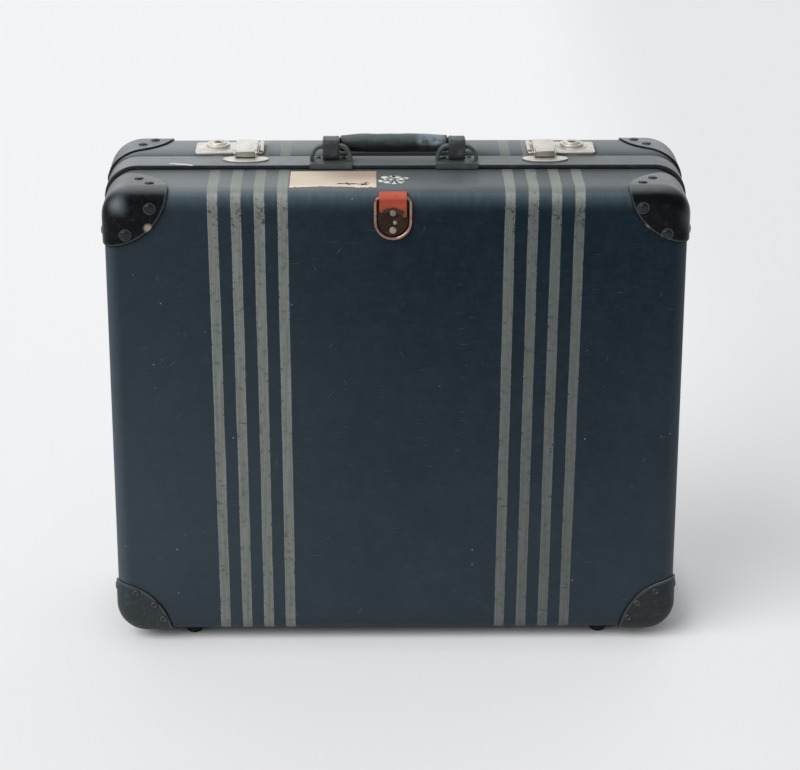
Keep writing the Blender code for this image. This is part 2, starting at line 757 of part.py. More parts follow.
def make_handle():
    """The padded leather grip and the two strap loops that tie it to the arches."""
    half = GRIP_LENGTH / 2
    strap_inner = MOUNT_SPREAD - STRAP_WIDTH / 2
    stations = [
        (-half, 0, 1),
        (RUNNING_GAP - strap_inner, 0, 1),
        (-strap_inner + GRIP_NECK, 0, GRIP_SHOULDER_RADIUS / GRIP_END_RADIUS),
        (-strap_inner + GRIP_TAPER, GRIP_RISE, GRIP_RADIUS / GRIP_END_RADIUS),
    ]
    stations += [(-x, rise, share) for x, rise, share in stations[::-1]]
    curve = bpy.data.curves.new("handle_grip", "CURVE")
    curve.dimensions = "3D"
    curve.bevel_depth = GRIP_END_RADIUS
    curve.bevel_resolution = GRIP_RESOLUTION
    curve.use_fill_caps = True
    points = [(x, GRIP_BEHIND_AXIS, rise - GRIP_BELOW_AXIS) for x, rise, share in stations]
    add_spline(curve, points, radii=[share for x, rise, share in stations])
    place = (HANDLE_OFFSET, HANDLE_Y, HANDLE_Z)
    curve_part("handle_grip", curve, place, handle, GRIP_LEATHER)
    for side in (-1, 1):
        strap = ribbon(strap_outline(), STRAP_WIDTH, cyclic=True)
        place = (HANDLE_OFFSET + side * MOUNT_SPREAD, HANDLE_Y, HANDLE_Z)
        loop = curve_part(f"handle_strap_{side_name(side)}", strap, place, handle, GRIP_LEATHER, YZ_TURN)
        thicken(loop, STRAP_THICKNESS)


def make_ring():
    """The carrying ring: a bent wire with a straight top bar."""
    half = (RING_WIDTH - RING_WIRE) / 2
    low = RING_HEIGHT - RING_WIRE - half
    round_x = half - RING_TOP_ROUND
    points = arc((0, -low), (half, half), 180, 360, 2 * ARCH_STEPS)
    points += arc((round_x, -RING_TOP_ROUND), (RING_TOP_ROUND, RING_TOP_ROUND), 0, 90, ARCH_STEPS // 2)
    points += arc((-round_x, -RING_TOP_ROUND), (RING_TOP_ROUND, RING_TOP_ROUND), 90, 180, ARCH_STEPS // 2)
    curve = bpy.data.curves.new("d_ring", "CURVE")
    curve.dimensions = "3D"
    curve.bevel_depth = RING_WIRE / 2
    curve.bevel_resolution = RING_RESOLUTION
    add_spline(curve, [(x, 0, z) for x, z in points], cyclic=True)
    curve_part("d_ring", curve, (RING_CENTRE, RING_Y, RING_Z), ring, WORN_COPPER)


def edge_line_y(z):
    """How far back the pan's rounded front rim lies at this height, from its front face."""
    above = z - (PAN_TOP_Z - PAN_EDGE)
    if above <= 0:
        return 0
    return PAN_EDGE - math.sqrt(PAN_EDGE**2 - above**2)


def make_ring_tab():
    """The red tab over the ring's bar, the brown backing inside the ring, and their rivets."""
    backing_face = SEAT_GAP + BACKING_THICKNESS
    lower = backing_face + SEAT_GAP + TAB_THICKNESS / 2
    middle_radius = TAB_INNER_RADIUS + TAB_THICKNESS / 2
    top_z = PAN_TOP_Z - TAB_TOP_DROP
    top_y = edge_line_y(top_z) - SEAT_GAP - TAB_THICKNESS / 2
    line = [(top_y, top_z - RING_Z)]
    over_bar = arc((0, 0), (middle_radius, middle_radius), *TAB_WRAP_ANGLES, ARCH_STEPS)
    line += [(y - RING_AXIS_PROUD, z) for y, z in over_bar]
    line += [(-lower, -2 * middle_radius), (-lower, -TAB_FALL)]
    place = (RING_CENTRE, FRONT_Y, RING_Z)
    tab = curve_part("ring_tab", ribbon(line, TAB_WIDTH), place, base, RED_LEATHER, YZ_TURN)
    thicken(tab, TAB_THICKNESS)
    make_ring_backing()
    for index, (drop, shift) in enumerate(zip(TAB_RIVET_DROPS, TAB_RIVET_SHIFTS)):
        face = backing_face if index else backing_face + SEAT_GAP + TAB_THICKNESS
        spot = ((RING_CENTRE + shift, FRONT_Y - face - SEAT_GAP, RING_Z - drop), (0, -1, 0))
        head = rivet_heads([spot], TAB_RIVET_RADIUS, TAB_RIVET_RADIUS / 2, TAB_RIVET_HEIGHT)
        add_part(f"ring_rivet_{index + 1}", head, (0, 0, 0), base, PALE_RIVET)


def make_ring_backing():
    """A leather patch that fills the ring."""
    half = RING_WIDTH / 2 - RING_WIRE - BACKING_CLEARANCE
    low = RING_HEIGHT - RING_WIRE / 2 - RING_WIDTH / 2
    outline = arc((0, -low), (half, half), 180, 360, 2 * ARCH_STEPS)
    outline += [(half, -BACKING_FALL), (-half, -BACKING_FALL)]
    curve = flat_outline(outline, BACKING_THICKNESS)
    y = FRONT_Y - SEAT_GAP - BACKING_THICKNESS / 2
    curve_part("ring_backing", curve, (RING_CENTRE, y, RING_Z), base, BROWN_LEATHER, (math.pi / 2, 0, 0))


def make_hasp_plate(side):
    """The oval plate on the band, with the two ears that hold the hasp's pin."""
    name = side_name(side)
    place = (side * HASP_SPREAD, HASP_Y, HASP_Z)
    low = BAND_TOP_Z + SEAT_GAP - HASP_Z
    outline = arc((0, OVAL_SHIFT), (OVAL_WIDTH / 2, OVAL_DEPTH / 2), 0, 360, OVAL_STEPS)[:-1]
    centre = (place[0], place[1], place[2] + low + OVAL_THICKNESS / 2)
    plate = curve_part(f"hasp_plate_{name}", flat_outline(outline, OVAL_THICKNESS), centre, base, NICKEL)
    start = FOLD_WIDTH / 2 + RUNNING_GAP
    for index, hand in enumerate((-1, 1)):
        ends = sorted((hand * start, hand * (start + EAR_WIDTH)))
        web = block(
            (ends[0], -EAR_RADIUS, low + OVAL_THICKNESS / 2), (ends[1], EAR_RADIUS, 0)
        )
        boolean(plate, add_helper(f"hasp_ear_web_{name}_{index}", web, place, base), "UNION")
        eye = rod(EAR_RADIUS, EAR_WIDTH, "X")
        bmesh.ops.translate(eye, vec=(sum(ends) / 2, 0, 0), verts=eye.verts)
        boolean(plate, add_helper(f"hasp_ear_{name}_{index}", eye, place, base), "UNION")
    bore = rod(HASP_PIN_RADIUS + RUNNING_GAP, OVAL_WIDTH, "X")
    boolean(plate, add_helper(f"hasp_ear_bore_{name}", bore, place, base), "DIFFERENCE")
    length = FOLD_WIDTH + 2 * (RUNNING_GAP + EAR_WIDTH)
    make_pin(f"hasp_pin_{name}", place, HASP_PIN_RADIUS, length, base)


def make_hasp(side, body):
    """The hasp: a skirted plate, folded square round its pin, that reaches back over the lock."""
    name = side_name(side)
    place = (side * HASP_SPREAD, HASP_Y, HASP_Z)
    depth = HASP_REACH + FOLD_HALF - FOLD_INSET
    surface = small_cover(HASP_WIDTH, depth, HASP_SKIRT, HASP_CORNER, HASP_EDGE)
    shift = (0, HASP_REACH - depth / 2, FOLD_HALF)
    bmesh.ops.translate(surface, vec=shift, verts=surface.verts)
    hasp = add_part(f"hasp_{name}", surface, place, body, NICKEL)
    solidify(hasp, HASP_THICKNESS)
    sweep = EAR_RADIUS + RUNNING_GAP
    for index, hand in enumerate((-1, 1)):
        ends = sorted((hand * (FOLD_WIDTH / 2 - FOLD_INSET), hand * (HASP_WIDTH / 2 + OVERRUN)))
        room = block((ends[0], -sweep, -sweep - OVERRUN), (ends[1], sweep, sweep))
        boolean(hasp, add_helper(f"hasp_ear_room_{name}_{index}", room, place, body), "DIFFERENCE")
    half = FOLD_WIDTH / 2
    fold = block((-half, -FOLD_HALF, -FOLD_HALF), (half, FOLD_HALF, FOLD_HALF - FOLD_INSET))
    along = [edge for edge in fold.edges if abs(edge.verts[0].co.x - edge.verts[1].co.x) > TINY]
    bevel(fold, along, FOLD_EDGE, SMALL_EDGE_STEPS)
    boolean(hasp, add_helper(f"hasp_fold_{name}", fold, place, body), "UNION")
    bore = rod(HASP_PIN_RADIUS + RUNNING_GAP, HASP_WIDTH + OVERRUN, "X")
    boolean(hasp, add_helper(f"hasp_bore_{name}", bore, place, body), "DIFFERENCE")
    make_staple(name, place, body)


def make_staple(name, place, body):
    """The tongue under the hasp that the lock's bolt catches, with its foot against the hasp."""
    staple_y = STAPLE_Y - HASP_Y
    low = BAND_TOP_Z + SEAT_GAP + BACKPLATE_THICKNESS + SLIDE_THICKNESS / 2 - HASP_Z
    high = FOLD_HALF - HASP_THICKNESS - SEAT_GAP
    blade = block(
        (-STAPLE_WIDTH / 2, staple_y - STAPLE_DEPTH / 2, low),
        (STAPLE_WIDTH / 2, staple_y + STAPLE_DEPTH / 2, high),
    )
    staple = add_part(f"hasp_staple_{name}", blade, place, body, NICKEL)
    half = STAPLE_DEPTH / 2
    foot = block((-half, staple_y - half, high - STAPLE_FOOT), (half, staple_y + half, high))
    boolean(staple, add_helper(f"hasp_staple_foot_{name}", foot, place, body), "UNION")


def make_lock_plate(side):
    """The lock's pressed cover on the lid: a shallow tray, mouth down, with a boss and two slots."""
    name = side_name(side)
    low = BAND_TOP_Z + SEAT_GAP
    top = low + LOCK_HEIGHT
    place = (side * LOCK_SPREAD, LOCK_Y, low)
    surface = small_cover(LOCK_WIDTH, LOCK_DEPTH, LOCK_HEIGHT, LOCK_CORNER, LOCK_EDGE)
    bmesh.ops.translate(surface, vec=(0, 0, LOCK_HEIGHT), verts=surface.verts)
    plate = add_part(f"lock_plate_{name}", surface, place, lid, NICKEL)
    solidify(plate, LOCK_WALL)
    roll = rod(CURL_RADIUS, LOCK_DEPTH - LOCK_CORNER)
    bmesh.ops.rotate(roll, verts=roll.verts, matrix=Matrix.Rotation(math.pi / 2, 3, "X"))
    roll_x = side * (LOCK_SPREAD - LOCK_WIDTH / 2 + CURL_RADIUS)
    roll_helper = add_helper(f"lock_roll_{name}", roll, (roll_x, LOCK_Y, low + CURL_RADIUS), lid)
    boolean(plate, roll_helper, "UNION")
    button_x = side * (BUTTON_SPREAD + BUTTON_TRAVEL / 2)
    boss = rod(BOSS_RADIUS, BOSS_HEIGHT + LOCK_WALL / 2, steps=BUTTON_STEPS, top_radius=BOSS_TOP_RADIUS)
    boss_z = top + (BOSS_HEIGHT - LOCK_WALL / 2) / 2
    boolean(plate, add_helper(f"lock_boss_{name}", boss, (button_x, BUTTON_Y, boss_z), lid), "UNION")
    width = 2 * (STEM_RADIUS + RUNNING_GAP)
    slot = stadium_solid(width, BUTTON_TRAVEL, LOCK_HEIGHT)
    boolean(plate, add_helper(f"lock_stem_slot_{name}", slot, (button_x, BUTTON_Y, top), lid), "DIFFERENCE")
    gap = STAPLE_WIDTH / 2 + STAPLE_CLEARANCE
    front = LOCK_FRONT_Y - OVERRUN
    back = STAPLE_Y + STAPLE_DEPTH / 2 + STAPLE_CLEARANCE
    slit = block((-gap, front, low - OVERRUN), (gap, back, top + OVERRUN))
    boolean(plate, add_helper(f"lock_slit_{name}", slit, (side * HASP_SPREAD, 0, 0), lid), "DIFFERENCE")
    make_backplate(side, name)


def stadium_solid(width, travel, height):
    """A round-ended slot along X, as a solid centred on the origin."""
    solid = bmesh.new()
    rows = arc((travel / 2, 0), (width / 2, width / 2), -90, 90, ARCH_STEPS)
    rows += arc((-travel / 2, 0), (width / 2, width / 2), 90, 270, ARCH_STEPS)
    face = solid.faces.new([solid.verts.new((x, y, -height / 2)) for x, y in rows])
    grown = bmesh.ops.extrude_face_region(solid, geom=[face])
    raised = [item for item in grown["geom"] if isinstance(item, bmesh.types.BMVert)]
    bmesh.ops.translate(solid, vec=(0, 0, height), verts=raised)
    bmesh.ops.recalc_face_normals(solid, faces=solid.faces)
    return solid


def make_backplate(side, name):
    """The thin plate under the slide, inside the lock's cover."""
    inset = LOCK_WALL + SEAT_GAP
    inner = -side * (LOCK_WIDTH / 2 - 2 * CURL_RADIUS - SEAT_GAP)
    outer = side * (LOCK_WIDTH / 2 - inset - LOCK_EDGE)
    half_y = LOCK_DEPTH / 2 - inset - LOCK_EDGE
    plate = block((min(inner, outer), -half_y, 0), (max(inner, outer), half_y, BACKPLATE_THICKNESS))
    place = (side * LOCK_SPREAD, LOCK_Y, BAND_TOP_Z + SEAT_GAP)
    back = add_part(f"lock_backplate_{name}", plate, place, lid, DARK_METAL)
    gap = STAPLE_WIDTH / 2 + STAPLE_CLEARANCE
    reach = STAPLE_Y + STAPLE_DEPTH / 2 + STAPLE_CLEARANCE
    notch = block((-gap, LOCK_FRONT_Y - OVERRUN, -OVERRUN), (gap, reach, OVERRUN))
    notch_place = (side * HASP_SPREAD, 0, BAND_TOP_Z + SEAT_GAP)
    boolean(back, add_helper(f"lock_backplate_notch_{name}", notch, notch_place, lid), "DIFFERENCE")


def make_slide(side, body):
    """The sliding button: its plate and bolt nose inside the lock, the stem and the round button above."""
    name = side_name(side)
    floor = SEAT_GAP + BACKPLATE_THICKNESS + RUNNING_GAP
    place = (side * BUTTON_SPREAD, BUTTON_Y, BAND_TOP_Z)
    nose_tip = BUTTON_SPREAD - HASP_SPREAD - STAPLE_WIDTH / 2 - NOSE_CLEARANCE
    nose_y = STAPLE_Y - BUTTON_Y
    ends = sorted((-side * STEM_RADIUS, side * SLIDE_TAIL))
    plate = block((ends[0], -SLIDE_DEPTH / 2, floor), (ends[1], SLIDE_DEPTH / 2, floor + SLIDE_THICKNESS))
    slide = add_part(f"lock_button_{name}", plate, place, body, NICKEL)
    tip = sorted((-side * nose_tip, 0))
    nose = block(
        (tip[0], nose_y - NOSE_DEPTH / 2, floor),
        (tip[1], max(nose_y + NOSE_DEPTH / 2, -SLIDE_DEPTH / 2 + OVERRUN), floor + SLIDE_THICKNESS),
    )
    boolean(slide, add_helper(f"lock_nose_{name}", nose, place, body), "UNION")
    rim_low = SEAT_GAP + LOCK_HEIGHT + BOSS_HEIGHT + RUNNING_GAP
    rim_high = rim_low + BUTTON_RIM_HEIGHT
    top = rim_high + BUTTON_STEP_HEIGHT
    stem = rod(STEM_RADIUS, rim_low - floor)
    bmesh.ops.translate(stem, vec=(0, 0, (rim_low + floor) / 2), verts=stem.verts)
    boolean(slide, add_helper(f"lock_stem_{name}", stem, place, body), "UNION")
    points = [
        (0, top),
        (BUTTON_STEP_RADIUS, top),
        (BUTTON_STEP_RADIUS, rim_high),
        (BUTTON_RADIUS, rim_high),
        (BUTTON_RADIUS, rim_low - TINY),
        (0, rim_low - TINY),
    ]
    knob = add_helper(f"lock_knob_{name}", profile_mesh(points), place, body)
    turned(knob, BUTTON_STEPS)
    boolean(slide, knob, "UNION")
    well = rod(PLUG_RADIUS + RUNNING_GAP, 2 * (KEY_SLOT_DEPTH + RUNNING_GAP))
    bmesh.ops.translate(well, vec=(0, 0, top), verts=well.verts)
    boolean(slide, add_helper(f"lock_well_{name}", well, place, body), "DIFFERENCE")
    return top


def make_plug(side, top, body):
    """The key plug in the middle of the button, with its key slot."""
    name = side_name(side)
    place = (side * BUTTON_SPREAD, BUTTON_Y, BAND_TOP_Z + top - KEY_SLOT_DEPTH / 2)
    plug = add_part(f"key_plug_{name}", rod(PLUG_RADIUS, KEY_SLOT_DEPTH), place, body, DARK_METAL)
    slot = box((KEY_SLOT_LENGTH, KEY_SLOT_WIDTH, KEY_SLOT_DEPTH), (0, 0, KEY_SLOT_DEPTH / 2))
    boolean(plug, add_helper(f"key_slot_{name}", slot, place, body), "DIFFERENCE")


def make_spring(side):
    """The curved leaf spring between the slide's tail and the lock cover's end wall."""
    name = side_name(side)
    tail = BUTTON_SPREAD + SLIDE_TAIL + SEAT_GAP
    wall = LOCK_SPREAD + LOCK_WIDTH / 2 - LOCK_WALL - SEAT_GAP
    across = wall - tail - SPRING_THICKNESS
    reach = SLIDE_DEPTH * SPRING_REACH_SHARE
    line = []
    for step in range(SPRING_STEPS + 1):
        share = step / SPRING_STEPS
        x = tail + SPRING_THICKNESS / 2 + across * (1 - math.cos(math.pi * share)) / 2
        line.append((side * x, reach * (share - 1 / 2)))
    curve = ribbon(line, SPRING_DEPTH)
    z = BAND_TOP_Z + SEAT_GAP + BACKPLATE_THICKNESS + RUNNING_GAP + SPRING_DEPTH / 2
    spring = curve_part(f"lock_spring_{name}", curve, (0, BUTTON_Y, z), lid, SPRING_STEEL)
    thicken(spring, SPRING_THICKNESS)


clear_scene()
parts = new_collection("suitcase")
cutters = new_collection("suitcase_cutters")
base = add_body("base_frame", (0, 0, 0))
lid = add_body("lid_hinge_axis", (0, SEAM_Y, HINGE_Z), base)
handle = add_body("handle_axis", (HANDLE_OFFSET, HANDLE_Y, HANDLE_Z), base)
ring = add_body("ring_axis", (RING_CENTRE, RING_Y, RING_Z), base)

make_base_shell()
make_edge_band()
make_lid_shell()
make_lining(
    "base_lining", PAN_WIDTH, PAN_HEIGHT, BASE_DEPTH + TONGUE_DEPTH, PAN_CORNER, PAN_EDGE, PAN_WALL,
    FRONT_Y, 1, base,
)
make_lining(
    "lid_lining", BAND_WIDTH, BAND_HEIGHT, LID_DEPTH - TONGUE_DEPTH, BAND_CORNER, LID_EDGE, LID_WALL,
    BACK_Y, -1, lid,
)
for end in (-1, 1):
    for side in (-1, 1):
        corner_name = f"{end_name(end)}_{side_name(side)}"
        make_guard(
            f"base_guard_{corner_name}", side, end,
            PAN_WIDTH, PAN_HEIGHT, PAN_CORNER, PAN_EDGE, FRONT_Y, 1, base,
        )
        make_guard(
            f"lid_guard_{corner_name}", side, end,
            BAND_WIDTH, BAND_HEIGHT, BAND_CORNER, LID_EDGE, BACK_Y, -1, lid,
        )
for side in (-1, 1):
    x = side * FOOT_SPREAD
    make_foot(f"base_foot_{side_name(side)}", x, FRONT_Y + BASE_FOOT_SETBACK, PAN_BOTTOM_Z, base)
    make_foot(f"lid_foot_{side_name(side)}", x, SEAM_Y + LID_FOOT_SETBACK, BAND_BOTTOM_Z, lid)
    make_hinge(side)
    make_handle_mount(side)
    make_hasp_plate(side)
    hasp_axis = add_body(f"hasp_axis_{side_name(side)}", (side * HASP_SPREAD, HASP_Y, HASP_Z), base)
    make_hasp(side, hasp_axis)
    make_lock_plate(side)
    button_place = (side * BUTTON_SPREAD, BUTTON_Y, BAND_TOP_Z)
    slide_axis = add_body(f"button_axis_{side_name(side)}", button_place, lid)
    plug_top = make_slide(side, slide_axis)
    make_plug(side, plug_top, slide_axis)
    make_spring(side)
make_handle()
make_ring()
make_ring_tab()
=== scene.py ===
"""Hard-shell suitcase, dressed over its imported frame, on a pale studio floor."""

import itertools
import json
import math

import bmesh
import bpy
from mathutils import Matrix, Vector, noise


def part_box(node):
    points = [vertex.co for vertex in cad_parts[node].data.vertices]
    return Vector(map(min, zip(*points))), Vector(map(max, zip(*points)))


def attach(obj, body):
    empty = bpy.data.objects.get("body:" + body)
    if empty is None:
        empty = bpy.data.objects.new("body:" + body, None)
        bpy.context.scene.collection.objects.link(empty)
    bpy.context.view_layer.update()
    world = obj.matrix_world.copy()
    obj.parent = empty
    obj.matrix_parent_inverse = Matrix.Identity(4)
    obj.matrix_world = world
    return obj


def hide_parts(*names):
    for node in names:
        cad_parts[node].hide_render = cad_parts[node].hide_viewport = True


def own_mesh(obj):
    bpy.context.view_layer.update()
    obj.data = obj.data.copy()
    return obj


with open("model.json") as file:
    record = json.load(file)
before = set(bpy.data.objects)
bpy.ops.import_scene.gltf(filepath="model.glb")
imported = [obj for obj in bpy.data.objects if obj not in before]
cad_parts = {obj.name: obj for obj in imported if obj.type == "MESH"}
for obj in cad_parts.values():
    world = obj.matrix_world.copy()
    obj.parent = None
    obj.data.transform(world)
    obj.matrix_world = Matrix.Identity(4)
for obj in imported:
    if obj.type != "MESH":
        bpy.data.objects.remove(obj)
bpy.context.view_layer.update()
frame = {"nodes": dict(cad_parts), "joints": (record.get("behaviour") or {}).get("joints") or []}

# Sizes that the frame gives
PAN_LOW, PAN_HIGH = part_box("base_shell")
BAND_LOW, BAND_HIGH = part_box("edge_band")
LID_LOW, LID_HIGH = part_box("lid_shell")
FRONT_Y = PAN_LOW.y
BACK_Y = LID_HIGH.y
PAN_TOP = PAN_HIGH.z
BAND_TOP = BAND_HIGH.z
PAN_MIDDLE_Z = (PAN_LOW.z + PAN_HIGH.z) / 2
PAN_WIDTH = PAN_HIGH.x - PAN_LOW.x
PAN_HEIGHT = PAN_HIGH.z - PAN_LOW.z
BAND_WIDTH = BAND_HIGH.x - BAND_LOW.x
BAND_HEIGHT = BAND_HIGH.z - BAND_LOW.z
SIDES = ((-1, "left"), (1, "right"))
ENDS = ((-1, "bottom"), (1, "top"))

# Shell
SEAT_GAP = 0.0003
TINY = 0.000001
PAN_CORNER = 0.030
PAN_EDGE = 0.016
BAND_CORNER = 0.035
PAN_WALL = 0.0022
LID_WALL = 0.0025
BAND_ROUND = 0.0014
SHELL_CORNER_STEPS = 16
SHELL_EDGE_STEPS = 10

# Cells per metre along, through and across the scratches
SCRATCH_CELLS = (24, 24, 480)

# Scratches on the fibre: angle, share of the cells, strength and shift
SCRATCHES = (
    (48, 0.030, 0.34, 31.0), (74, 0.030, 0.34, 57.0), (118, 0.014, 0.30, 12.0), (3, 0.14, 0.20, 83.0),
    (-5, 0.12, 0.16, 41.0),
)

# How far the painted sheen on the pan's rounded top edge fades down its front
SHEEN_FALL = 0.027

# Linings and the tab's backing
LINING_THICKNESS = 0.0004
LINING_TRIM = 0.0008
LINING_STEP = 0.05
LINING_CUTS = 24
LINING_WAVE = 0.0008
BACKING_TRIM = 0.0002
BACKING_ROUND = 0.0003
BACKING_STEPS = 64
BACKING_UNEVEN = 0.008

# The label: its left, right, near and far edges, its grid and its thickness
LABEL_SPAN = (-0.1100, -0.0203, 0.0120, 0.0715)
LABEL_COLUMNS = 90
LABEL_ROWS = 36
LABEL_THICKNESS = 0.00016

# The flakes: place across, place from the front, half size across and half size back
FLAKES = (
    (-0.0105, 0.0480, 0.0042, 0.0050), (-0.0045, 0.0505, 0.0036, 0.0036), (0.0010, 0.0490, 0.0040, 0.0052),
    (0.0065, 0.0420, 0.0030, 0.0036), (0.0105, 0.0450, 0.0026, 0.0030), (-0.0155, 0.0340, 0.0030, 0.0040),
    (-0.0080, 0.0300, 0.0040, 0.0048), (-0.0020, 0.0280, 0.0038, 0.0046), (0.0040, 0.0300, 0.0036, 0.0044),
    (-0.0050, 0.0400, 0.0020, 0.0026), (0.0020, 0.0380, 0.0016, 0.0022), (-0.0110, 0.0390, 0.0016, 0.0020),
    (0.0075, 0.0330, 0.0014, 0.0018),
)
FLAKE_SWELL = 1.2
FLAKE_CORNERS = 22
FLAKE_LIFT = 0.0002
FLAKE_THICKNESS = 0.0001

# The chip in the band's paint
CHIP_X = -0.2265
CHIP_LENGTH = 0.0270
CHIP_WIDTH = 0.0040
CHIP_BACK = 0.0050
CHIP_SLOPE = -0.0040

# Guards and rivets
GUARD_REACH = 0.0645
GUARD_THICKNESS = 0.002
GUARD_PROUD = SEAT_GAP + GUARD_THICKNESS
GUARD_ROUND = 0.0008
GUARD_STEPS = 96
RIVET_RADIUS = 0.0050
WORN_RIVET_RADIUS = 0.0040
RIVET_HEIGHT = 0.0019
RIVET_REACH = 0.052
TOP_FACE_RIVET_ANGLES = (21, 64)
BOTTOM_FACE_RIVET_ANGLES = (19, 40.5, 67)
EDGE_RIVET_ANGLES = (24, 47)
GUARD_SHIFTS = {
    "top_left": (-0.0030, 0.0047), "top_right": (0.0010, 0.0075),
    "bottom_left": (0.0058, 0.0055), "bottom_right": (0.0056, 0.0030),
}
RIVET_SIDES = 24

# The shells with guards: body, width, height, corner radius, face and the way in from it
GUARDED_SHELLS = (
    ("base", PAN_WIDTH, PAN_HEIGHT, PAN_CORNER, FRONT_Y, 1),
    ("lid", BAND_WIDTH, BAND_HEIGHT, BAND_CORNER, BACK_Y, -1),
)

# The lock buttons: their middles and their height, for the painted shade on the nickel round them
KNOB_X = 0.1895
KNOB_Y = 0.04545
KNOB_HEIGHT = 0.009

# Handle
HANDLE_X = (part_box("handle_strap_left")[0].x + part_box("handle_strap_right")[1].x) / 2
HANDLE_POS = next(joint["pos_m"] for joint in frame["joints"] if joint["name"] == "handle_turn")
HANDLE_Y = HANDLE_POS[1]
HANDLE_Z = HANDLE_POS[2]
MOUNT_SPREAD = 0.0664
STRIP_STEPS = 3
STRAP_WIDTH = 0.0175
STRAP_THICKNESS = 0.0022
STRAP_HANG = 0.0133
STRAP_FRONT = 0.0076
STRAP_BEND = 0.0028
STRAP_FLAT = 0.005
STRAP_CLEARANCE = 0.0007
ARCH_WIDTH = 0.045
ARCH_BAR = 0.0205
ARCH_STRIP = 0.003
ARCH_LOOK = 0.0040
ARCH_DEPTH = 0.0085
GRIP_BEHIND_AXIS = 0.021
GRIP_BELOW_AXIS = 0.0040
GRIP_RADIUS = 0.0098
GRIP_SHOULDER = 0.0086
GRIP_NECK = 0.0022
GRIP_END_RADIUS = 0.0062
GRIP_RISE = 0.0015
GRIP_LENGTH = 0.150
GRIP_TAPER = 0.026
GRIP_SIDES = 40
GRIP_STATIONS = 120
STITCH_LENGTH = 0.0026
STITCH_RADIUS = 0.00035
GRIP_STITCHES = 34
GRIP_UNEVEN = 0.0004
GRIP_CAP = 0.0022
STITCH_FROM_EDGE = 0.0024

# Ring and tab
RING_POS = next(joint["pos_m"] for joint in frame["joints"] if joint["name"] == "ring_swing")
RING_WIDTH = 0.0395
RING_HEIGHT = 0.0465
RING_WIRE = 0.003
RING_LOOK = 0.0035
RING_TOP_ROUND = 0.0055
TAB_WIDTH = 0.0284
TAB_THICKNESS = 0.0016
TAB_TOP_DROP = 0.0033
TAB_FALL = 0.0190
TAB_CLEARANCE = 0.0005
TAB_ROUND = 0.0004
TAB_COLUMNS = 44
TAB_ROWS = 26
TAB_RIVETS = (("ring_rivet_1", 0.0033), ("ring_rivet_2", 0.0022), ("ring_rivet_3", 0.0037))
WIRE_SIDES = 16

# The frame's own pieces, left and right, by material, and their rounded edges
NODE_FINISHES = {
    "nickel": (
        "hinge_base_leaf", "hinge_lid_leaf", "hinge_pin", "hasp_plate", "hasp_pin", "hasp", "hasp_staple",
        "lock_plate", "lock_button",
    ),
    "arch": ("handle_mount", "lock_backplate"),
    "plug": ("key_plug",),
    "foot": ("base_foot", "lid_foot"),
}
NODE_ROUND = 0.00035
SHARP_ANGLE = 32

# Camera and light
CAMERA_PLACE = (-0.02636, FRONT_Y - 2.5298, PAN_LOW.z + 1.2378)
CAMERA_PITCH = 20.593
CAMERA_ROLL = 0.079
CAMERA_YAW = -0.684
LENS = 115.5
SENSOR = 36
PALE_SHARE = 0.28
# How far the painted shadow round the case's foot spreads
CONTACT_SPREAD = 0.045
# Where across the floor the painted shade to the right of the case starts and is full
FLOOR_PAINTED_SHADE = (0.28, 0.60)
KEY_DIRECTION = (-0.60, -0.48, 0.64)
KEY_ENERGY = 2.30
KEY_ANGLE = 50
FLOOR_SIZE = 30
WORLD_SPAN = {"From Min": 0.35, "From Max": 0.85, "To Min": 0.43, "To Max": 1.30}


def srgb(red, green, blue):
    """A colour of 0 to 255 as linear light with full alpha."""
    linear = []
    for channel in (red, green, blue):
        share = channel / 255
        linear.append(share / 12.92 if share <= 0.04045 else ((share + 0.055) / 1.055) ** 2.4)
    return (*linear, 1)


def feed(tree, socket, value):
    """Links an output to a socket, or sets its value."""
    if isinstance(value, Value):
        value = value.socket
    if isinstance(value, bpy.types.NodeSocket):
        tree.links.new(value, socket)
    else:
        socket.default_value = value


def add_node(tree, kind, inputs, **settings):
    """A node with its settings and inputs."""
    made = tree.nodes.new(kind)
    for name, value in settings.items():
        setattr(made, name, value)
    for key, value in inputs.items():
        feed(tree, made.inputs[key], value)
    return made


class Value:
    """A number that nodes work out, for sums with other values and plain numbers."""

    def __init__(self, shader, socket):
        self.shader = shader
        self.socket = socket

    def __add__(self, other):
        return self.shader.math("ADD", self, other)

    def __sub__(self, other):
        return self.shader.math("SUBTRACT", self, other)

    def __rsub__(self, other):
        return self.shader.math("SUBTRACT", other, self)

    def __mul__(self, other):
        return self.shader.math("MULTIPLY", self, other)

    def __truediv__(self, other):
        return self.shader.math("DIVIDE", self, other)

    def __pow__(self, other):
        return self.shader.math("POWER", self, other)

    def __abs__(self):
        return self.shader.math("ABSOLUTE", self)


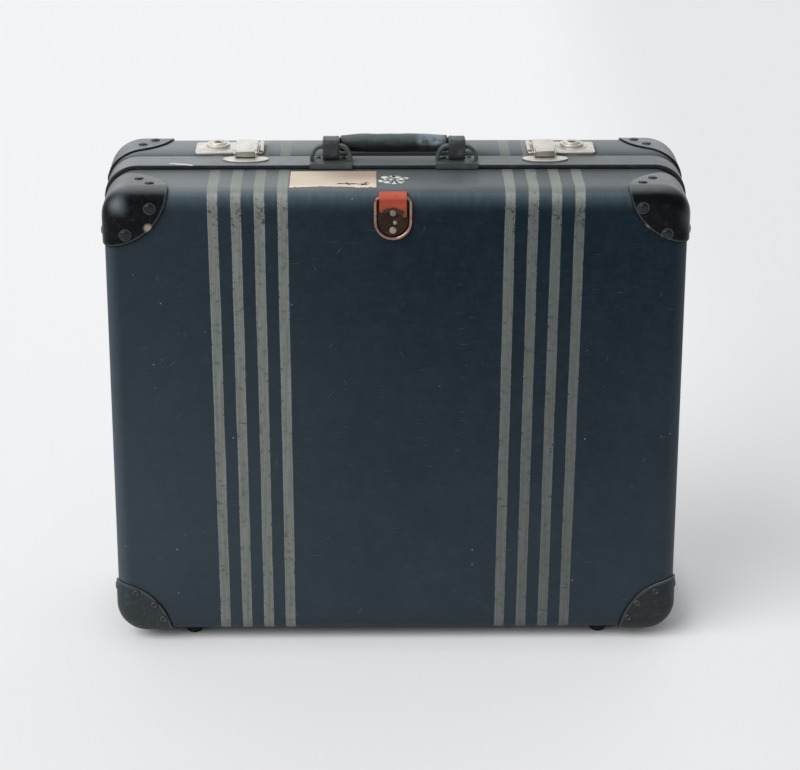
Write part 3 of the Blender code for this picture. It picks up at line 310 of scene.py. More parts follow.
class Shader:
    """A node material, built from the object's own coordinates in metres."""

    def __init__(self, name):
        self.material = bpy.data.materials.new(name)
        self.material.use_nodes = True
        self.tree = self.material.node_tree
        self.surface = self.tree.nodes["Principled BSDF"]
        self.place = self.node("ShaderNodeTexCoord", {}).outputs["Object"]
        split = self.node("ShaderNodeSeparateXYZ", {0: self.place})
        self.x, self.y, self.z = (Value(self, socket) for socket in split.outputs)
        geometry = self.node("ShaderNodeNewGeometry", {})
        facing = self.node("ShaderNodeSeparateXYZ", {0: geometry.outputs["Normal"]})
        self.facing_up = Value(self, facing.outputs[2])
        self.tone = None

    def node(self, kind, inputs, **settings):
        """A node of this material."""
        return add_node(self.tree, kind, inputs, **settings)

    def math(self, operation, first, second=0.0):
        """A math node's result."""
        made = self.node("ShaderNodeMath", {0: first, 1: second}, operation=operation)
        return Value(self, made.outputs[0])

    def step(self, value, low, high, top=1.0):
        """0 below low, top above high, and smooth between."""
        made = self.node(
            "ShaderNodeMapRange", {"Value": value, "From Min": low, "From Max": high, "To Max": top},
            interpolation_type="SMOOTHSTEP",
        )
        return Value(self, made.outputs[0])

    def moved(self, place, scale, shift):
        """A place scaled along each axis and shifted."""
        inputs = {0: place, 1: tuple(scale), 2: (shift,) * 3}
        return self.node("ShaderNodeVectorMath", inputs, operation="MULTIPLY_ADD").outputs[0]

    def noise(self, scale, detail=3.0, stretch=(1, 1, 1), shift=0.0, roughness=0.55):
        """Noise of this scale per metre, stretched along the axes."""
        place = self.moved(self.place, [scale * share for share in stretch], shift)
        inputs = {"Vector": place, "Scale": 1.0, "Detail": detail, "Roughness": roughness}
        return Value(self, self.node("ShaderNodeTexNoise", inputs).outputs["Fac"])

    def cells(self, scale, feature="F1"):
        """A Voronoi node of this scale per metre."""
        place = self.moved(self.place, (scale,) * 3, 0.0)
        return self.node("ShaderNodeTexVoronoi", {"Vector": place, "Scale": 1.0}, feature=feature)

    def chosen(self, cell, share, low, high):
        """1 near the middle of a share of the cells, 0 elsewhere."""
        split = self.node("ShaderNodeSeparateXYZ", {0: cell.outputs["Color"]})
        picked = self.math("LESS_THAN", split.outputs[0], share)
        return self.step(cell.outputs["Distance"], low, high) * picked

    def specks(self, scale, size, share):
        """Sparse round specks: 1 on them, 0 elsewhere. share is the part of the cells that have one."""
        return self.chosen(self.cells(scale), share, size, size / 3)

    def scratches(self, angle, share, shift):
        """Sparse straight scratches at an angle in degrees up from flat: 1 on them, 0 elsewhere."""
        inputs = {"Vector": self.place, "Angle": math.radians(angle)}
        turned = self.node("ShaderNodeVectorRotate", inputs, rotation_type="Y_AXIS").outputs[0]
        place = self.moved(turned, SCRATCH_CELLS, shift)
        cell = self.node("ShaderNodeTexVoronoi", {"Vector": place, "Scale": 1.0})
        return self.chosen(cell, share, 0.14, 0.04)

    def mix(self, share, first, second):
        """A colour between two colours."""
        made = self.node("ShaderNodeMix", {0: share, 6: first, 7: second}, data_type="RGBA")
        return made.outputs[2]

    def tint(self, share, *colour):
        """Lays a colour of 0 to 255 over the tone so far."""
        self.tone = self.mix(share, self.tone, srgb(*colour))

    def box_mask(self, axis_spans, soft):
        """1 inside a box of spans in x, y and z, with soft sides."""
        mask = 1.0
        for value, (low, high) in zip((self.x, self.y, self.z), axis_spans):
            inside = self.step(value, low - soft, low) * self.step(value, high + soft, high)
            mask = inside * mask
        return mask

    def bump(self, height, distance, strength=1.0, normal=None):
        """A bump of this depth in metres, on top of another."""
        inputs = {"Height": height, "Distance": distance, "Strength": strength}
        if normal:
            inputs["Normal"] = normal
        return self.node("ShaderNodeBump", inputs).outputs[0]

    def finish(self, roughness, normal=None, metallic=0.0, specular=0.5):
        """Feeds the surface and returns the material."""
        inputs = {"Base Color": self.tone, "Roughness": roughness, "Metallic": metallic}
        inputs["Specular IOR Level"] = specular
        if normal:
            inputs["Normal"] = normal
        for name, value in inputs.items():
            feed(self.tree, self.surface.inputs[name], value)
        return self.material


def distance_from(shader, x, y, z):
    """How far each point of the surface is from a place, in metres."""
    made = shader.node("ShaderNodeVectorMath", {0: shader.place, 1: (x, y, z)}, operation="DISTANCE")
    return Value(shader, made.outputs["Value"])


# Painted stripes: distances from the middle of the case at the height of its top
STRIPE_FIRST = 0.1172
STRIPE_STEP = 0.02400
STRIPE_WIDTH = 0.0106
STRIPE_LEAN = 0.0076
STRIPE_SIDE_LEAN = 0.0026
STRIPE_FAN = 0.0010


def threads(shader, fine, long):
    """Woven threads along all three axes, as one height."""
    height = 0.0
    for index in range(3):
        stretch = [long / fine] * 3
        stretch[index] = 1
        thread = shader.noise(fine, detail=1.0, stretch=stretch, shift=index * 7.3)
        height = thread + height
    return height * (1 / 3)


def stripe_mask(shader):
    """1 on the painted stripes, with ragged edges, and how near each point is to a stripe's middle."""
    slow = (shader.noise(45, stretch=(1, 1, 0.3)) - 0.5) * 0.0016
    fast = (shader.noise(620, detail=4.0) - 0.5) * 0.001
    wobble = slow + fast
    below = shader.z - PAN_TOP
    side = shader.math("SIGN", shader.x) * STRIPE_SIDE_LEAN + STRIPE_LEAN
    across = abs(shader.x) + wobble
    across = across - (below * side + STRIPE_FIRST)
    step = below * STRIPE_FAN + STRIPE_STEP
    count = across / step
    nearest = shader.math("ROUND", count)
    nearest = shader.math("MINIMUM", shader.math("MAXIMUM", nearest, 0.0), 3.0)
    off = abs(count - nearest)
    half = STRIPE_WIDTH / STRIPE_STEP / 2
    soft = 0.014
    return shader.step(off, half + soft, half - soft), shader.step(off, half, half * 0.55)


def corner_distance(shader):
    """How far each point is from the nearest guard's outline, in metres: below 0 under the guard."""
    nearest = 1.0
    for _, width, height, _, y, _ in GUARDED_SHELLS:
        for end, end_name in ENDS:
            for side, side_name in SIDES:
                shift = GUARD_SHIFTS[f"{end_name}_{side_name}"]
                centre = (side * (width / 2 + shift[0]), y, PAN_MIDDLE_Z + end * (height / 2 + shift[1]))
                away = distance_from(shader, *centre) - GUARD_REACH
                nearest = shader.math("MINIMUM", away, nearest)
    return nearest


def fibre_material(name, lid):
    """Pressed fibre painted navy, with a linen face, dust, scratches and worn stripes, and painted light:
    sheen on the tops and top edge, light low down and to the left, shade beside the guards.
    """
    shader = Shader(name)
    weave = threads(shader, 820, 75)
    cloud = shader.noise(6, detail=4.0)
    patch = shader.noise(38, detail=4.0, shift=3.0)
    mottle = shader.noise(150, detail=5.0, shift=6.0, roughness=0.65)
    low = shader.mix(cloud, srgb(5, 21, 31), srgb(10, 27, 37))
    shader.tone = shader.mix(shader.step(weave, 0.42, 0.62, 0.7), low, srgb(20, 35, 46))
    shader.tint(shader.step(mottle, 0.55, 0.75, 0.22), 34, 49, 59)
    # Paler low down from dust and a painted floor bounce, paler to the left as painted light, and a painted
    # highlight along both side edges.
    height_share = shader.step(shader.z, PAN_TOP - 0.02, PAN_LOW.z + 0.06)
    dust_and_floor_bounce = height_share * (cloud * 0.26 + 0.13)
    left = shader.step(shader.x, 0.12, -0.32, 0.20)
    rim = shader.step(abs(shader.x), PAN_WIDTH / 2 - 0.016, PAN_WIDTH / 2 - 0.001, 0.34)
    dust_and_painted_light = dust_and_floor_bounce + left + rim
    shader.tint(dust_and_painted_light, 74, 84, 90)
    # Tops paler from dust and a painted sheen, stronger on the lid, with painted light stronger to the left.
    up = shader.step(shader.facing_up, 0.45, 1.0)
    full = 0.56 if lid else 0.29
    rubbed = up * (patch * 0.16 + full)
    painted_left_light_on_tops = up * shader.step(shader.x, 0.12, -0.26, 0.24)
    shader.tint(rubbed + painted_left_light_on_tops, 150, 156, 158)
    rough = shader.step(patch, 0.2, 0.8, 0.14) + 0.42
    mask, inner = stripe_mask(shader)
    wear = shader.noise(260, detail=6.0, stretch=(1, 1, 0.7), roughness=0.72)
    on_bend = shader.step(shader.z, PAN_TOP - 0.060, PAN_TOP - 0.018)
    on_bend = on_bend * shader.step(shader.z, PAN_TOP + 0.001, PAN_TOP - 0.010)
    bitten = on_bend * 0.095 + (wear - inner * 0.05)
    worn = shader.step(bitten, 0.560, 0.650)
    crack_line = shader.noise(430, detail=2.0, stretch=(0.12, 0.3, 1), shift=11.0)
    crack = shader.step(crack_line, 0.64, 0.72) * shader.step(patch, 0.5, 0.62)
    streak = shader.noise(820, detail=2.0, stretch=(1, 0.05, 0.015), shift=5.0)
    paint = shader.mix(shader.step(streak, 0.35, 0.65), srgb(100, 105, 102), srgb(118, 122, 118))
    stain = shader.noise(26, detail=4.0, stretch=(1, 1, 0.7), shift=9.0)
    for share, colour in (
        (shader.step(stain, 0.50, 0.68, 0.35), (110, 108, 98)),
        (shader.step(stain, 0.47, 0.32, 0.5), (98, 110, 98)),
        (shader.step(inner, 0.6, 0.0, 0.35), (138, 144, 140)),
        (shader.step(mottle, 0.52, 0.68, 0.50), (70, 76, 74)),
        # Darker to the right is painted shade; paler on the tops is a painted sheen.
        (shader.step(shader.x, 0.0, 0.16, 0.50), (60, 67, 66)),
        (up * 0.55, (166, 170, 164)),
        (crack * 0.7, (44, 48, 46)),
    ):
        paint = shader.mix(share, paint, srgb(*colour))
    cover = mask * (1.0 - worn * 0.75)
    shader.tone = shader.mix(cover, shader.tone, paint)
    height = weave + cover * 0.5
    for angle, many, share, shift in SCRATCHES:
        scratch = shader.scratches(angle, many, shift)
        shader.tint(scratch * share, 132, 142, 146)
    dots = shader.specks(110, 0.13, 0.034)
    shader.tint(dots * 0.6, 150, 156, 158)
    # A dark line just outside each guard: painted shade where the guard stands proud, with some dirt.
    rim_gap = corner_distance(shader)
    grime_and_edge_shade = shader.step(rim_gap, 0.0016, 0.0006) * shader.step(patch, 0.3, 0.45, 0.85)
    shader.tint(grime_and_edge_shade, 6, 9, 12)
    # A painted sheen in streaks on the pan's rounded top edge, fading down the front, paler on the stripes.
    sheen_streaks = shader.noise(160, stretch=(1, 0.2, 0.2)) * 0.9 + 0.35
    shoulder = shader.step(shader.z, PAN_TOP - SHEEN_FALL, PAN_TOP - 0.0015)
    shoulder = shoulder ** 1.5 * 0.62
    shoulder = shoulder * sheen_streaks * shader.step(shader.facing_up, 0.9, 0.6)
    shoulder = shoulder * shader.step(shader.y, BAND_LOW.y, FRONT_Y + PAN_EDGE * 1.5)
    shader.tone = shader.mix(shoulder, shader.tone, shader.mix(mask, srgb(98, 114, 124), srgb(178, 182, 178)))
    normal = shader.bump(shader.noise(9, detail=2.0), 0.0010)
    normal = shader.bump(height, 0.00020, normal=normal)
    normal = shader.bump(dots, 0.0003, 0.6, normal)
    return shader.finish(rough, normal, specular=0.12)


def band_material():
    """The band's plainer fibre, dull and rubbed, with one long chip in its paint, and a painted sheen on its
    top, stronger to the left.
    """
    shader = Shader("band_fibre")
    weave = threads(shader, 900, 120)
    cloud = shader.noise(16, detail=4.0)
    shader.tone = shader.mix(cloud, srgb(22, 29, 35), srgb(36, 43, 48))
    shader.tint(shader.step(weave, 0.5, 0.65, 0.4), 50, 57, 62)
    # Top paler from dust and a painted sheen, with painted light stronger to the left and weaker to the
    # right.
    up = shader.step(shader.facing_up, 0.45, 1.0)
    left = shader.step(shader.x, 0.0, -0.2, 0.26) - shader.step(shader.x, 0.02, 0.1, 0.07)
    dust_and_top_sheen = up * (cloud * 0.24 + 0.26 + left)
    shader.tint(dust_and_top_sheen, 156, 160, 162)
    rub = shader.step(shader.noise(70, detail=5.0), 0.52, 0.66) * 0.25
    shader.tint(rub, 84, 90, 94)
    along = (shader.x - CHIP_X) / (CHIP_LENGTH / 2)
    across = shader.y - (along * CHIP_SLOPE + (BAND_LOW.y + CHIP_BACK))
    across = (across + shader.noise(120) * 0.0006) / (CHIP_WIDTH / 2)
    square = along * along + across * across
    chip = shader.step(square, 1.1, 0.8) * shader.step(shader.facing_up, 0.5, 0.7)
    shader.tint(chip, 226, 222, 212)
    rough = shader.step(cloud, 0.2, 0.8, 0.18) + 0.36
    normal = shader.bump(shader.noise(24, detail=2.0), 0.0008)
    normal = shader.bump(weave, 0.00012, normal=normal)
    normal = shader.bump(chip, -0.0003, normal=normal)
    return shader.finish(rough, normal, specular=0.3)


def guard_material(
    name, dark, pale, dust_share, rough_base, specular, worn_places=(), painted_highlights=(), ring_places=()
):
    """Moulded leather-board guard: fine grain, rubbed dust, specks and spots worn to the board, with painted
    highlights, a painted sheen on its top faces and painted shade on the right.
    """
    shader = Shader(name)
    grain = shader.cells(620).outputs["Distance"]
    cloud = shader.noise(30, detail=5.0)
    fine = shader.noise(900, detail=3.0)
    shader.tone = shader.mix(cloud, dark, pale)
    dust = shader.step(shader.noise(170, detail=6.0, roughness=0.75), 0.5, 0.72) * dust_share
    shader.tint(dust, 108, 114, 116)
    # Darker on the right-hand guards: painted shade.
    shader.tint(shader.step(shader.x, 0.0, 0.25, 0.40), 4, 6, 9)
    # Top faces paler: a painted sheen.
    up = shader.step(shader.facing_up, 0.55, 1.0)
    shader.tint(up * (cloud * 0.3 + 0.36), 150, 154, 156)
    edge = shader.step(abs(corner_distance(shader) + 0.0014), 0.0011, 0.0004, 0.22)
    shader.tint(edge, 112, 118, 120)
    # Painted highlights: soft pale spots at given places.
    for x, y, z, reach, share in painted_highlights:
        uneven = (cloud - 0.5) * (reach * 0.4)
        near = distance_from(shader, x, y, z) + uneven
        shader.tint(shader.step(near, reach, 0.0) ** 1.4 * share, 124, 131, 136)
    for x, y, z in ring_places:
        away = abs(distance_from(shader, x, y, z) - (RIVET_RADIUS + 0.0007))
        shader.tint(shader.step(away, 0.0010, 0.0002, 0.26), 120, 126, 130)
    for x, y, z in worn_places:
        offset = distance_from(shader, x, y, z)
        ragged = offset + (fine - 0.5) * 0.0035
        shader.tint(shader.step(ragged, 0.0062, 0.0026, 0.9), 150, 140, 122)
    dots = shader.specks(300, 0.16, 0.05)
    shader.tint(dots * 0.6, 140, 144, 142)
    rough = shader.step(cloud, 0.25, 0.75, 0.16) + rough_base
    normal = shader.bump(shader.noise(60, detail=3.0), 0.0006)
    normal = shader.bump(grain, 0.00008, 0.6, normal)
    normal = shader.bump(fine, 0.00008, 0.6, normal)
    return shader.finish(rough, normal, specular=specular)


def metal_tones(shader, base, tarnish, share, spots, spot_share):
    """Tarnish clouds and spots over a base, returning the clouds."""
    cloud = shader.noise(95, detail=6.0, roughness=0.65)
    shader.tone = shader.mix(shader.step(cloud, 0.42, 0.72, share), base, tarnish)
    shader.tone = shader.mix(shader.specks(700, 0.25, 0.10) * spot_share, shader.tone, spots)
    return cloud


def metal_finish(shader, cloud, spread, rough_base, metallic):
    """Uneven roughness, wipe marks and fine pits."""
    wipe = shader.noise(900, detail=2.0, stretch=(0.06, 1, 1))
    rough = shader.step(cloud, 0.3, 0.75, spread) + rough_base + (wipe - 0.5) * 0.12
    normal = shader.bump(shader.noise(140, detail=2.0), 0.00030)
    normal = shader.bump(shader.noise(1400, detail=2.0), 0.00008, 0.6, normal)
    return shader.finish(rough, normal, metallic=metallic)


def metal_material(name, base, tarnish, share, rough_base, metallic=1.0):
    """Plated metal with tarnish clouds, fine pits and wipe marks."""
    shader = Shader(name)
    cloud = metal_tones(shader, base, tarnish, share, tarnish, share)
    return metal_finish(shader, cloud, 0.22, rough_base, metallic)


def nickel_material():
    """Dull nickel plate, with a painted brown reflection on its upright faces, painted shade on its
    right-hand side, and a tarnish ring round each lock's key kept to its right as painted shade.
    """
    shader = Shader("worn_nickel")
    cloud = metal_tones(shader, srgb(222, 219, 212), srgb(190, 183, 168), 0.40, srgb(150, 140, 120), 0.35)
    # Darker on the right: painted shade.
    shader.tint(shader.step(shader.x, 0.10, 0.15, 0.35), 168, 163, 150)
    # Upright faces browner, away from the buttons: a painted reflection.
    upright = shader.step(shader.facing_up, 0.55, 0.15)
    from_keys = [
        (side, distance_from(shader, side * KNOB_X, KNOB_Y, BAND_TOP + KNOB_HEIGHT)) for side, _ in SIDES
    ]
    for side, from_key in from_keys:
        upright = upright * shader.step(from_key, 0.0150, 0.0165)
    shader.tint(upright * (cloud * 0.3 + 0.50), 104, 98, 84)
    # A brown tarnish ring round each key, kept to its right side as painted shade.
    for side, from_key in from_keys:
        ring = shader.step(from_key, 0.0030, 0.0042) * shader.step(from_key, 0.0094, 0.0080)
        ring = ring * shader.step(cloud, 0.42, 0.58, 0.62)
        ring = ring * shader.step(shader.x, side * KNOB_X - 0.004, side * KNOB_X + 0.002)
        shader.tint(ring, 104, 98, 78)
    return metal_finish(shader, cloud, 0.20, 0.36, 0.7)


def leather_material(
    name, dark, pale, rubbed, rub_share, rub_place=None, rough_base=0.34, dust=0.0, specular=0.5
):
    """Smooth leather with creases, pores and rubbed places, and with dust given, a painted sheen on top and
    painted shade underneath.
    """
    shader = Shader(name)
    cloud = shader.noise(55, detail=5.0)
    shader.tone = shader.mix(cloud, dark, pale)
    rub = shader.step(shader.noise(110, detail=5.0, roughness=0.7), 0.46, 0.66, rub_share)
    if rub_place:
        near = shader.box_mask(rub_place, 0.010)
        rub = shader.math("MAXIMUM", rub, near * shader.step(cloud, 0.3, 0.55, 0.95))
    shader.tone = shader.mix(rub, shader.tone, rubbed)
    # dust sets a painted sheen on the top and painted shade underneath.
    if dust:
        shader.tint(shader.step(shader.facing_up, 0.25, 1.0, dust), 114, 126, 130)
        shader.tint(shader.step(shader.facing_up, 0.30, -0.15, 0.85), 2, 5, 8)
    crackle = shader.cells(420, feature="DISTANCE_TO_EDGE").outputs["Distance"]
    folds = shader.noise(260, detail=3.0, stretch=(0.35, 1, 1))
    rough = shader.step(cloud, 0.25, 0.75, 0.25) + rough_base
    normal = shader.bump(folds, 0.00025)
    normal = shader.bump(shader.step(crackle, 0.0, 0.12), 0.00006, 0.6, normal)
    return shader.finish(rough, normal, specular=specular)


def red_leather_material():
    """Red leather, with a painted highlight where it bends over the bar, browner lower down, torn through to
    brown round the rivet.
    """
    shader = Shader("red_leather")
    cloud = shader.noise(130, detail=5.0)
    shader.tone = shader.mix(cloud, srgb(138, 52, 34), srgb(176, 76, 52))
    # A painted highlight where the leather bends over the ring's bar.
    fold_highlight = shader.step(shader.z, RING_POS[2] - 0.004, RING_POS[2] + 0.004, 0.75)
    shader.tint(fold_highlight, 196, 92, 70)
    # Browner towards its lower part.
    browner_below = shader.z + (cloud - 0.5) * 0.012
    browner_below = shader.step(browner_below, RING_POS[2] - 0.005, RING_POS[2] - 0.018, 0.8)
    shader.tone = shader.mix(
        browner_below, shader.tone, shader.mix(shader.noise(60), srgb(104, 56, 34), srgb(84, 66, 34))
    )
    rivet = (RING_POS[0] + 0.0012, RING_POS[2] - 0.0165)
    across = (shader.x - rivet[0]) / 0.0105
    down = (shader.z - rivet[1]) / 0.0066
    square = across * across + down * down
    ragged = square + (cloud - 0.5) * 2.2
    torn = shader.step(ragged, 1.15, 0.85)
    shader.tone = shader.mix(
        torn, shader.tone, shader.mix(shader.noise(300), srgb(40, 26, 18), srgb(66, 44, 30))
    )
    holes = shader.specks(230, 0.18, 0.10)
    shader.tint(holes, 60, 22, 16)
    normal = shader.bump(shader.noise(420, detail=4.0), 0.0002)
    normal = shader.bump(torn, -0.0003, normal=normal)
    rough = shader.step(cloud, 0.2, 0.8, 0.2) + 0.42
    return shader.finish(rough, normal, specular=0.25)


def paper_material():
    """A pasted paper label, browned, with small tears near its front edge."""
    shader = Shader("label_paper")
    fibre = shader.noise(900, detail=3.0, stretch=(0.25, 1, 1))
    cloud = shader.noise(45, detail=5.0)
    shader.tone = shader.mix(cloud, srgb(228, 216, 198), srgb(208, 192, 172))
    right = shader.step(shader.x, -0.095, -0.040, 0.80)
    back = shader.step(shader.y, FRONT_Y + 0.020, FRONT_Y + 0.060)
    shader.tint(right * back, 164, 142, 128)
    edge_pale = shader.step(shader.y, FRONT_Y + 0.024, FRONT_Y + 0.014, 0.7)
    shader.tint(edge_pale, 238, 226, 210)
    waves = (shader.noise(95, detail=3.0, shift=8.0) - 0.5) * 0.03
    from_line = abs(shader.y + waves - (FRONT_Y + 0.024))
    stretch_x = shader.step(shader.x, -0.064, -0.058) * shader.step(shader.x, -0.026, -0.032)
    tear = shader.step(from_line, 0.0038, 0.002) * stretch_x
    tear = tear * shader.step(shader.noise(210, detail=3.0, shift=3.0), 0.34, 0.44)
    shader.tint(tear, 58, 46, 38)
    shader.tint(shader.step(fibre, 0.55, 0.75, 0.2), 236, 224, 204)
    normal = shader.bump(fibre, 0.00012)
    normal = shader.bump(shader.noise(120, detail=3.0), 0.0004, normal=normal)
    return shader.finish(0.78, normal, specular=0.2)


def plain_material(name, low, high, scale, rough_base, depth):
    """A quiet material of two tones with a fine grain."""
    shader = Shader(name)
    cloud = shader.noise(scale, detail=5.0)
    fine = shader.noise(scale * 12, detail=2.0)
    shader.tone = shader.mix(cloud, low, high)
    rough = shader.step(fine, 0.2, 0.8, 0.15) + rough_base
    return shader.finish(rough, shader.bump(fine, depth), specular=0.3)


def lining_material():
    """A thin paper lining with a small woven check and foxing."""
    shader = Shader("lining_paper")
    height = threads(shader, 700, 60)
    cloud = shader.noise(9, detail=5.0)
    shader.tone = shader.mix(cloud, srgb(190, 174, 146), srgb(166, 148, 120))
    shader.tint(shader.step(height, 0.45, 0.62, 0.35), 206, 194, 170)
    foxing = shader.specks(90, 0.25, 0.06) * 0.6
    shader.tint(foxing, 150, 124, 94)
    return shader.finish(0.82, shader.bump(height, 0.0002), specular=0.2)


def top_rivet_places():
    """Where the rivets of the two upper front guards sit."""
    places = []
    for side, _ in SIDES:
        for angle in TOP_FACE_RIVET_ANGLES:
            across = RIVET_REACH * math.cos(math.radians(angle))
            down = RIVET_REACH * math.sin(math.radians(angle))
            places.append((side * (PAN_WIDTH / 2 - across), FRONT_Y - GUARD_PROUD, PAN_TOP - down))
    return places


MATERIALS = {
    "fibre": fibre_material("navy_fibre", False),
    "lid_fibre": fibre_material("navy_fibre_lid", True),
    "band": band_material(),
    # One guard leather and one rivet metal in lit and shaded copies: the upper ones darker as painted shade,
    # the lower ones paler as painted floor bounce.
    "guard_top": guard_material(
        "guard_leather_top", srgb(2, 4, 7), srgb(7, 11, 15), 0.10, 0.22, 0.10,
        ((-0.2555, FRONT_Y, PAN_LOW.z + 0.4609), (0.2562, FRONT_Y, PAN_LOW.z + 0.4589)),
        # Painted highlights high on the left guard and on the right guard's side.
        (
            (-0.2865, FRONT_Y + 0.001, PAN_TOP - 0.0155, 0.0165, 0.62),
            (0.3030, FRONT_Y + 0.014, PAN_TOP - 0.030, 0.024, 0.5),
        ),
        top_rivet_places(),
    ),
    "guard_bottom": guard_material(
        "guard_leather_bottom", srgb(34, 40, 44), srgb(48, 54, 58), 0.22, 0.45, 0.24
    ),
    "guard_lid": guard_material("guard_leather_lid", srgb(20, 24, 29), srgb(36, 41, 46), 0.30, 0.34, 0.3),
    "rivet_top": metal_material("rivet_black", srgb(12, 16, 20), srgb(40, 44, 48), 0.4, 0.18, metallic=0.3),
    "rivet_bottom": metal_material("rivet_dull", srgb(40, 45, 49), srgb(74, 78, 80), 0.5, 0.34, metallic=0.2),
    "rivet_lid": metal_material("rivet_dark", srgb(26, 30, 34), srgb(58, 60, 62), 0.5, 0.30, metallic=0.2),
    "nickel": nickel_material(),
    "arch": metal_material("dark_steel", srgb(74, 81, 80), srgb(104, 108, 102), 0.5, 0.40, metallic=0.3),
    "plug": metal_material("plug_steel", srgb(96, 92, 84), srgb(60, 54, 46), 0.6, 0.34),
    "copper": metal_material("worn_copper", srgb(164, 128, 118), srgb(84, 62, 58), 0.85, 0.22),
    "tab_rivet": metal_material("tab_rivet", srgb(150, 140, 126), srgb(96, 88, 74), 0.7, 0.42, metallic=0.7),
    "spring": metal_material("spring_steel", srgb(160, 160, 158), srgb(120, 116, 108), 0.3, 0.30),
    # The grip's dust share paints a sheen on its top and shade underneath.
    "grip": leather_material(
        "grip_leather", srgb(4, 12, 16), srgb(16, 27, 32), srgb(136, 154, 162), 0.06,
        rub_place=((0.030, 0.046), (-1, 1), (HANDLE_Z - 0.005, 1)), dust=0.5,
    ),
    "strap": leather_material(
        "strap_leather", srgb(28, 34, 37), srgb(46, 53, 55), srgb(96, 104, 104), 0.30, rough_base=0.42
    ),
    "stitch": plain_material("waxed_thread", srgb(44, 50, 52), srgb(66, 70, 70), 900, 0.6, 0.0001),
    "red": red_leather_material(),
    "brown": leather_material(
        "brown_leather", srgb(30, 18, 12), srgb(52, 34, 24), srgb(82, 60, 42), 0.35, rough_base=0.6,
        specular=0.15,
    ),
    "paper": paper_material(),
    "flake": plain_material("paper_flake", srgb(232, 238, 230), srgb(212, 214, 200), 300, 0.75, 0.0001),
    "lining": lining_material(),
    "foot": plain_material("foot_stud", srgb(13, 13, 14), srgb(24, 24, 24), 120, 0.6, 0.0002),
}


def piece(name, mesh_data, material, body, sharp=35, replaces=()):
    """A new piece in the row frame, riding on a body."""
    if isinstance(mesh_data, bmesh.types.BMesh):
        bmesh.ops.recalc_face_normals(mesh_data, faces=mesh_data.faces)
        data = bpy.data.meshes.new(name)
        mesh_data.to_mesh(data)
        mesh_data.free()
    else:
        data = mesh_data
    obj = bpy.data.objects.new(name, data)
    bpy.context.scene.collection.objects.link(obj)
    data.materials.clear()
    data.materials.append(MATERIALS[material])
    data.shade_smooth()
    data.set_sharp_from_angle(angle=math.radians(sharp))
    if body:
        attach(obj, body)
    if replaces:
        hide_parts(*replaces)
    return obj


def settle(obj):
    """Applies an object's modifiers to its mesh."""
    bpy.context.view_layer.update()
    graph = bpy.context.evaluated_depsgraph_get()
    mesh = bpy.data.meshes.new_from_object(obj.evaluated_get(graph))
    obj.modifiers.clear()
    obj.data = mesh
    return obj


def round_off(obj, width, angle=35, segments=3):
    """Rounds an object's sharp edges."""
    modifier = obj.modifiers.new("rounding", "BEVEL")
    modifier.width = width
    modifier.segments = segments
    modifier.limit_method = "ANGLE"
    modifier.angle_limit = math.radians(angle)
    modifier.harden_normals = True
    return obj


def thicken(obj, thickness, offset=-1):
    """Gives a surface its wall."""
    modifier = obj.modifiers.new("wall", "SOLIDIFY")
    modifier.thickness = thickness
    modifier.offset = offset
    modifier.use_even_offset = True
    return obj


def ripple(height, *place):
    """A smooth uneven height at a place."""
    return height * noise.noise(Vector(place))


def tray(width, height, depth, corner, edge, y, facing, closed=True):
    """An open box in the row frame: closed face at y, mouth towards facing, finely rounded."""
    mesh = bmesh.new()
    bmesh.ops.create_cube(mesh, size=1)
    bmesh.ops.scale(mesh, vec=(width, depth, height), verts=mesh.verts)
    bmesh.ops.translate(mesh, vec=(0, depth / 2, 0), verts=mesh.verts)
    mesh.normal_update()
    lost = [face for face in mesh.faces if face.normal.y > 0.5 or (not closed and face.normal.y < -0.5)]
    bmesh.ops.delete(mesh, geom=lost, context="FACES_ONLY")
    along = [item for item in mesh.edges if abs(item.verts[0].co.y - item.verts[1].co.y) > TINY]
    bevel(mesh, along, corner, SHELL_CORNER_STEPS)
    if closed:
        rim = [item for item in mesh.edges if all(abs(vert.co.y) < TINY for vert in item.verts)]
        bevel(mesh, rim, edge, SHELL_EDGE_STEPS)
    if facing < 0:
        bmesh.ops.rotate(mesh, verts=mesh.verts, matrix=Matrix.Rotation(math.pi, 3, "Z"))
    bmesh.ops.translate(mesh, vec=(0, y, PAN_MIDDLE_Z), verts=mesh.verts)
    return mesh


def bevel(mesh, edges, radius, segments):
    """Rounds these edges of a bmesh with a true arc."""
    bmesh.ops.bevel(
        mesh, geom=edges, offset=radius, offset_type="OFFSET", segments=segments, profile=0.5,
        affect="EDGES", clamp_overlap=False,
    )


def revolve(profile, sides, place, normal, mesh):
    """Adds a turned shape to a bmesh, its axis on the normal at this place."""
    turn = Vector((0, 0, 1)).rotation_difference(Vector(normal)).to_matrix().to_4x4()
    matrix = Matrix.Translation(place) @ turn
    rings = []
    for radius, height in profile:
        if radius < TINY:
            rings.append([mesh.verts.new(matrix @ Vector((0, 0, height)))])
            continue
        ring = []
        for index in range(sides):
            angle = 2 * math.pi * index / sides
            point = Vector((radius * math.cos(angle), radius * math.sin(angle), height))
            ring.append(mesh.verts.new(matrix @ point))
        rings.append(ring)
    for first, second in zip(rings, rings[1:]):
        for index in range(sides):
            corners = [first[index % len(first)], first[(index + 1) % len(first)]]
            corners += [second[(index + 1) % len(second)], second[index % len(second)]]
            unique = list(dict.fromkeys(corners))
            if len(unique) > 2:
                mesh.faces.new(unique)


def join_rows(mesh, rows, rings):
    """Faces between rows of vertices, which are closed rings or open lines."""
    for first, second in zip(rows, rows[1:]):
        for index in range(len(first) if rings else len(first) - 1):
            after = (index + 1) % len(first)
            corners = (first[index], first[after], second[after], second[index])
            mesh.faces.new(corners if rings else corners[:1] + corners[:0:-1])


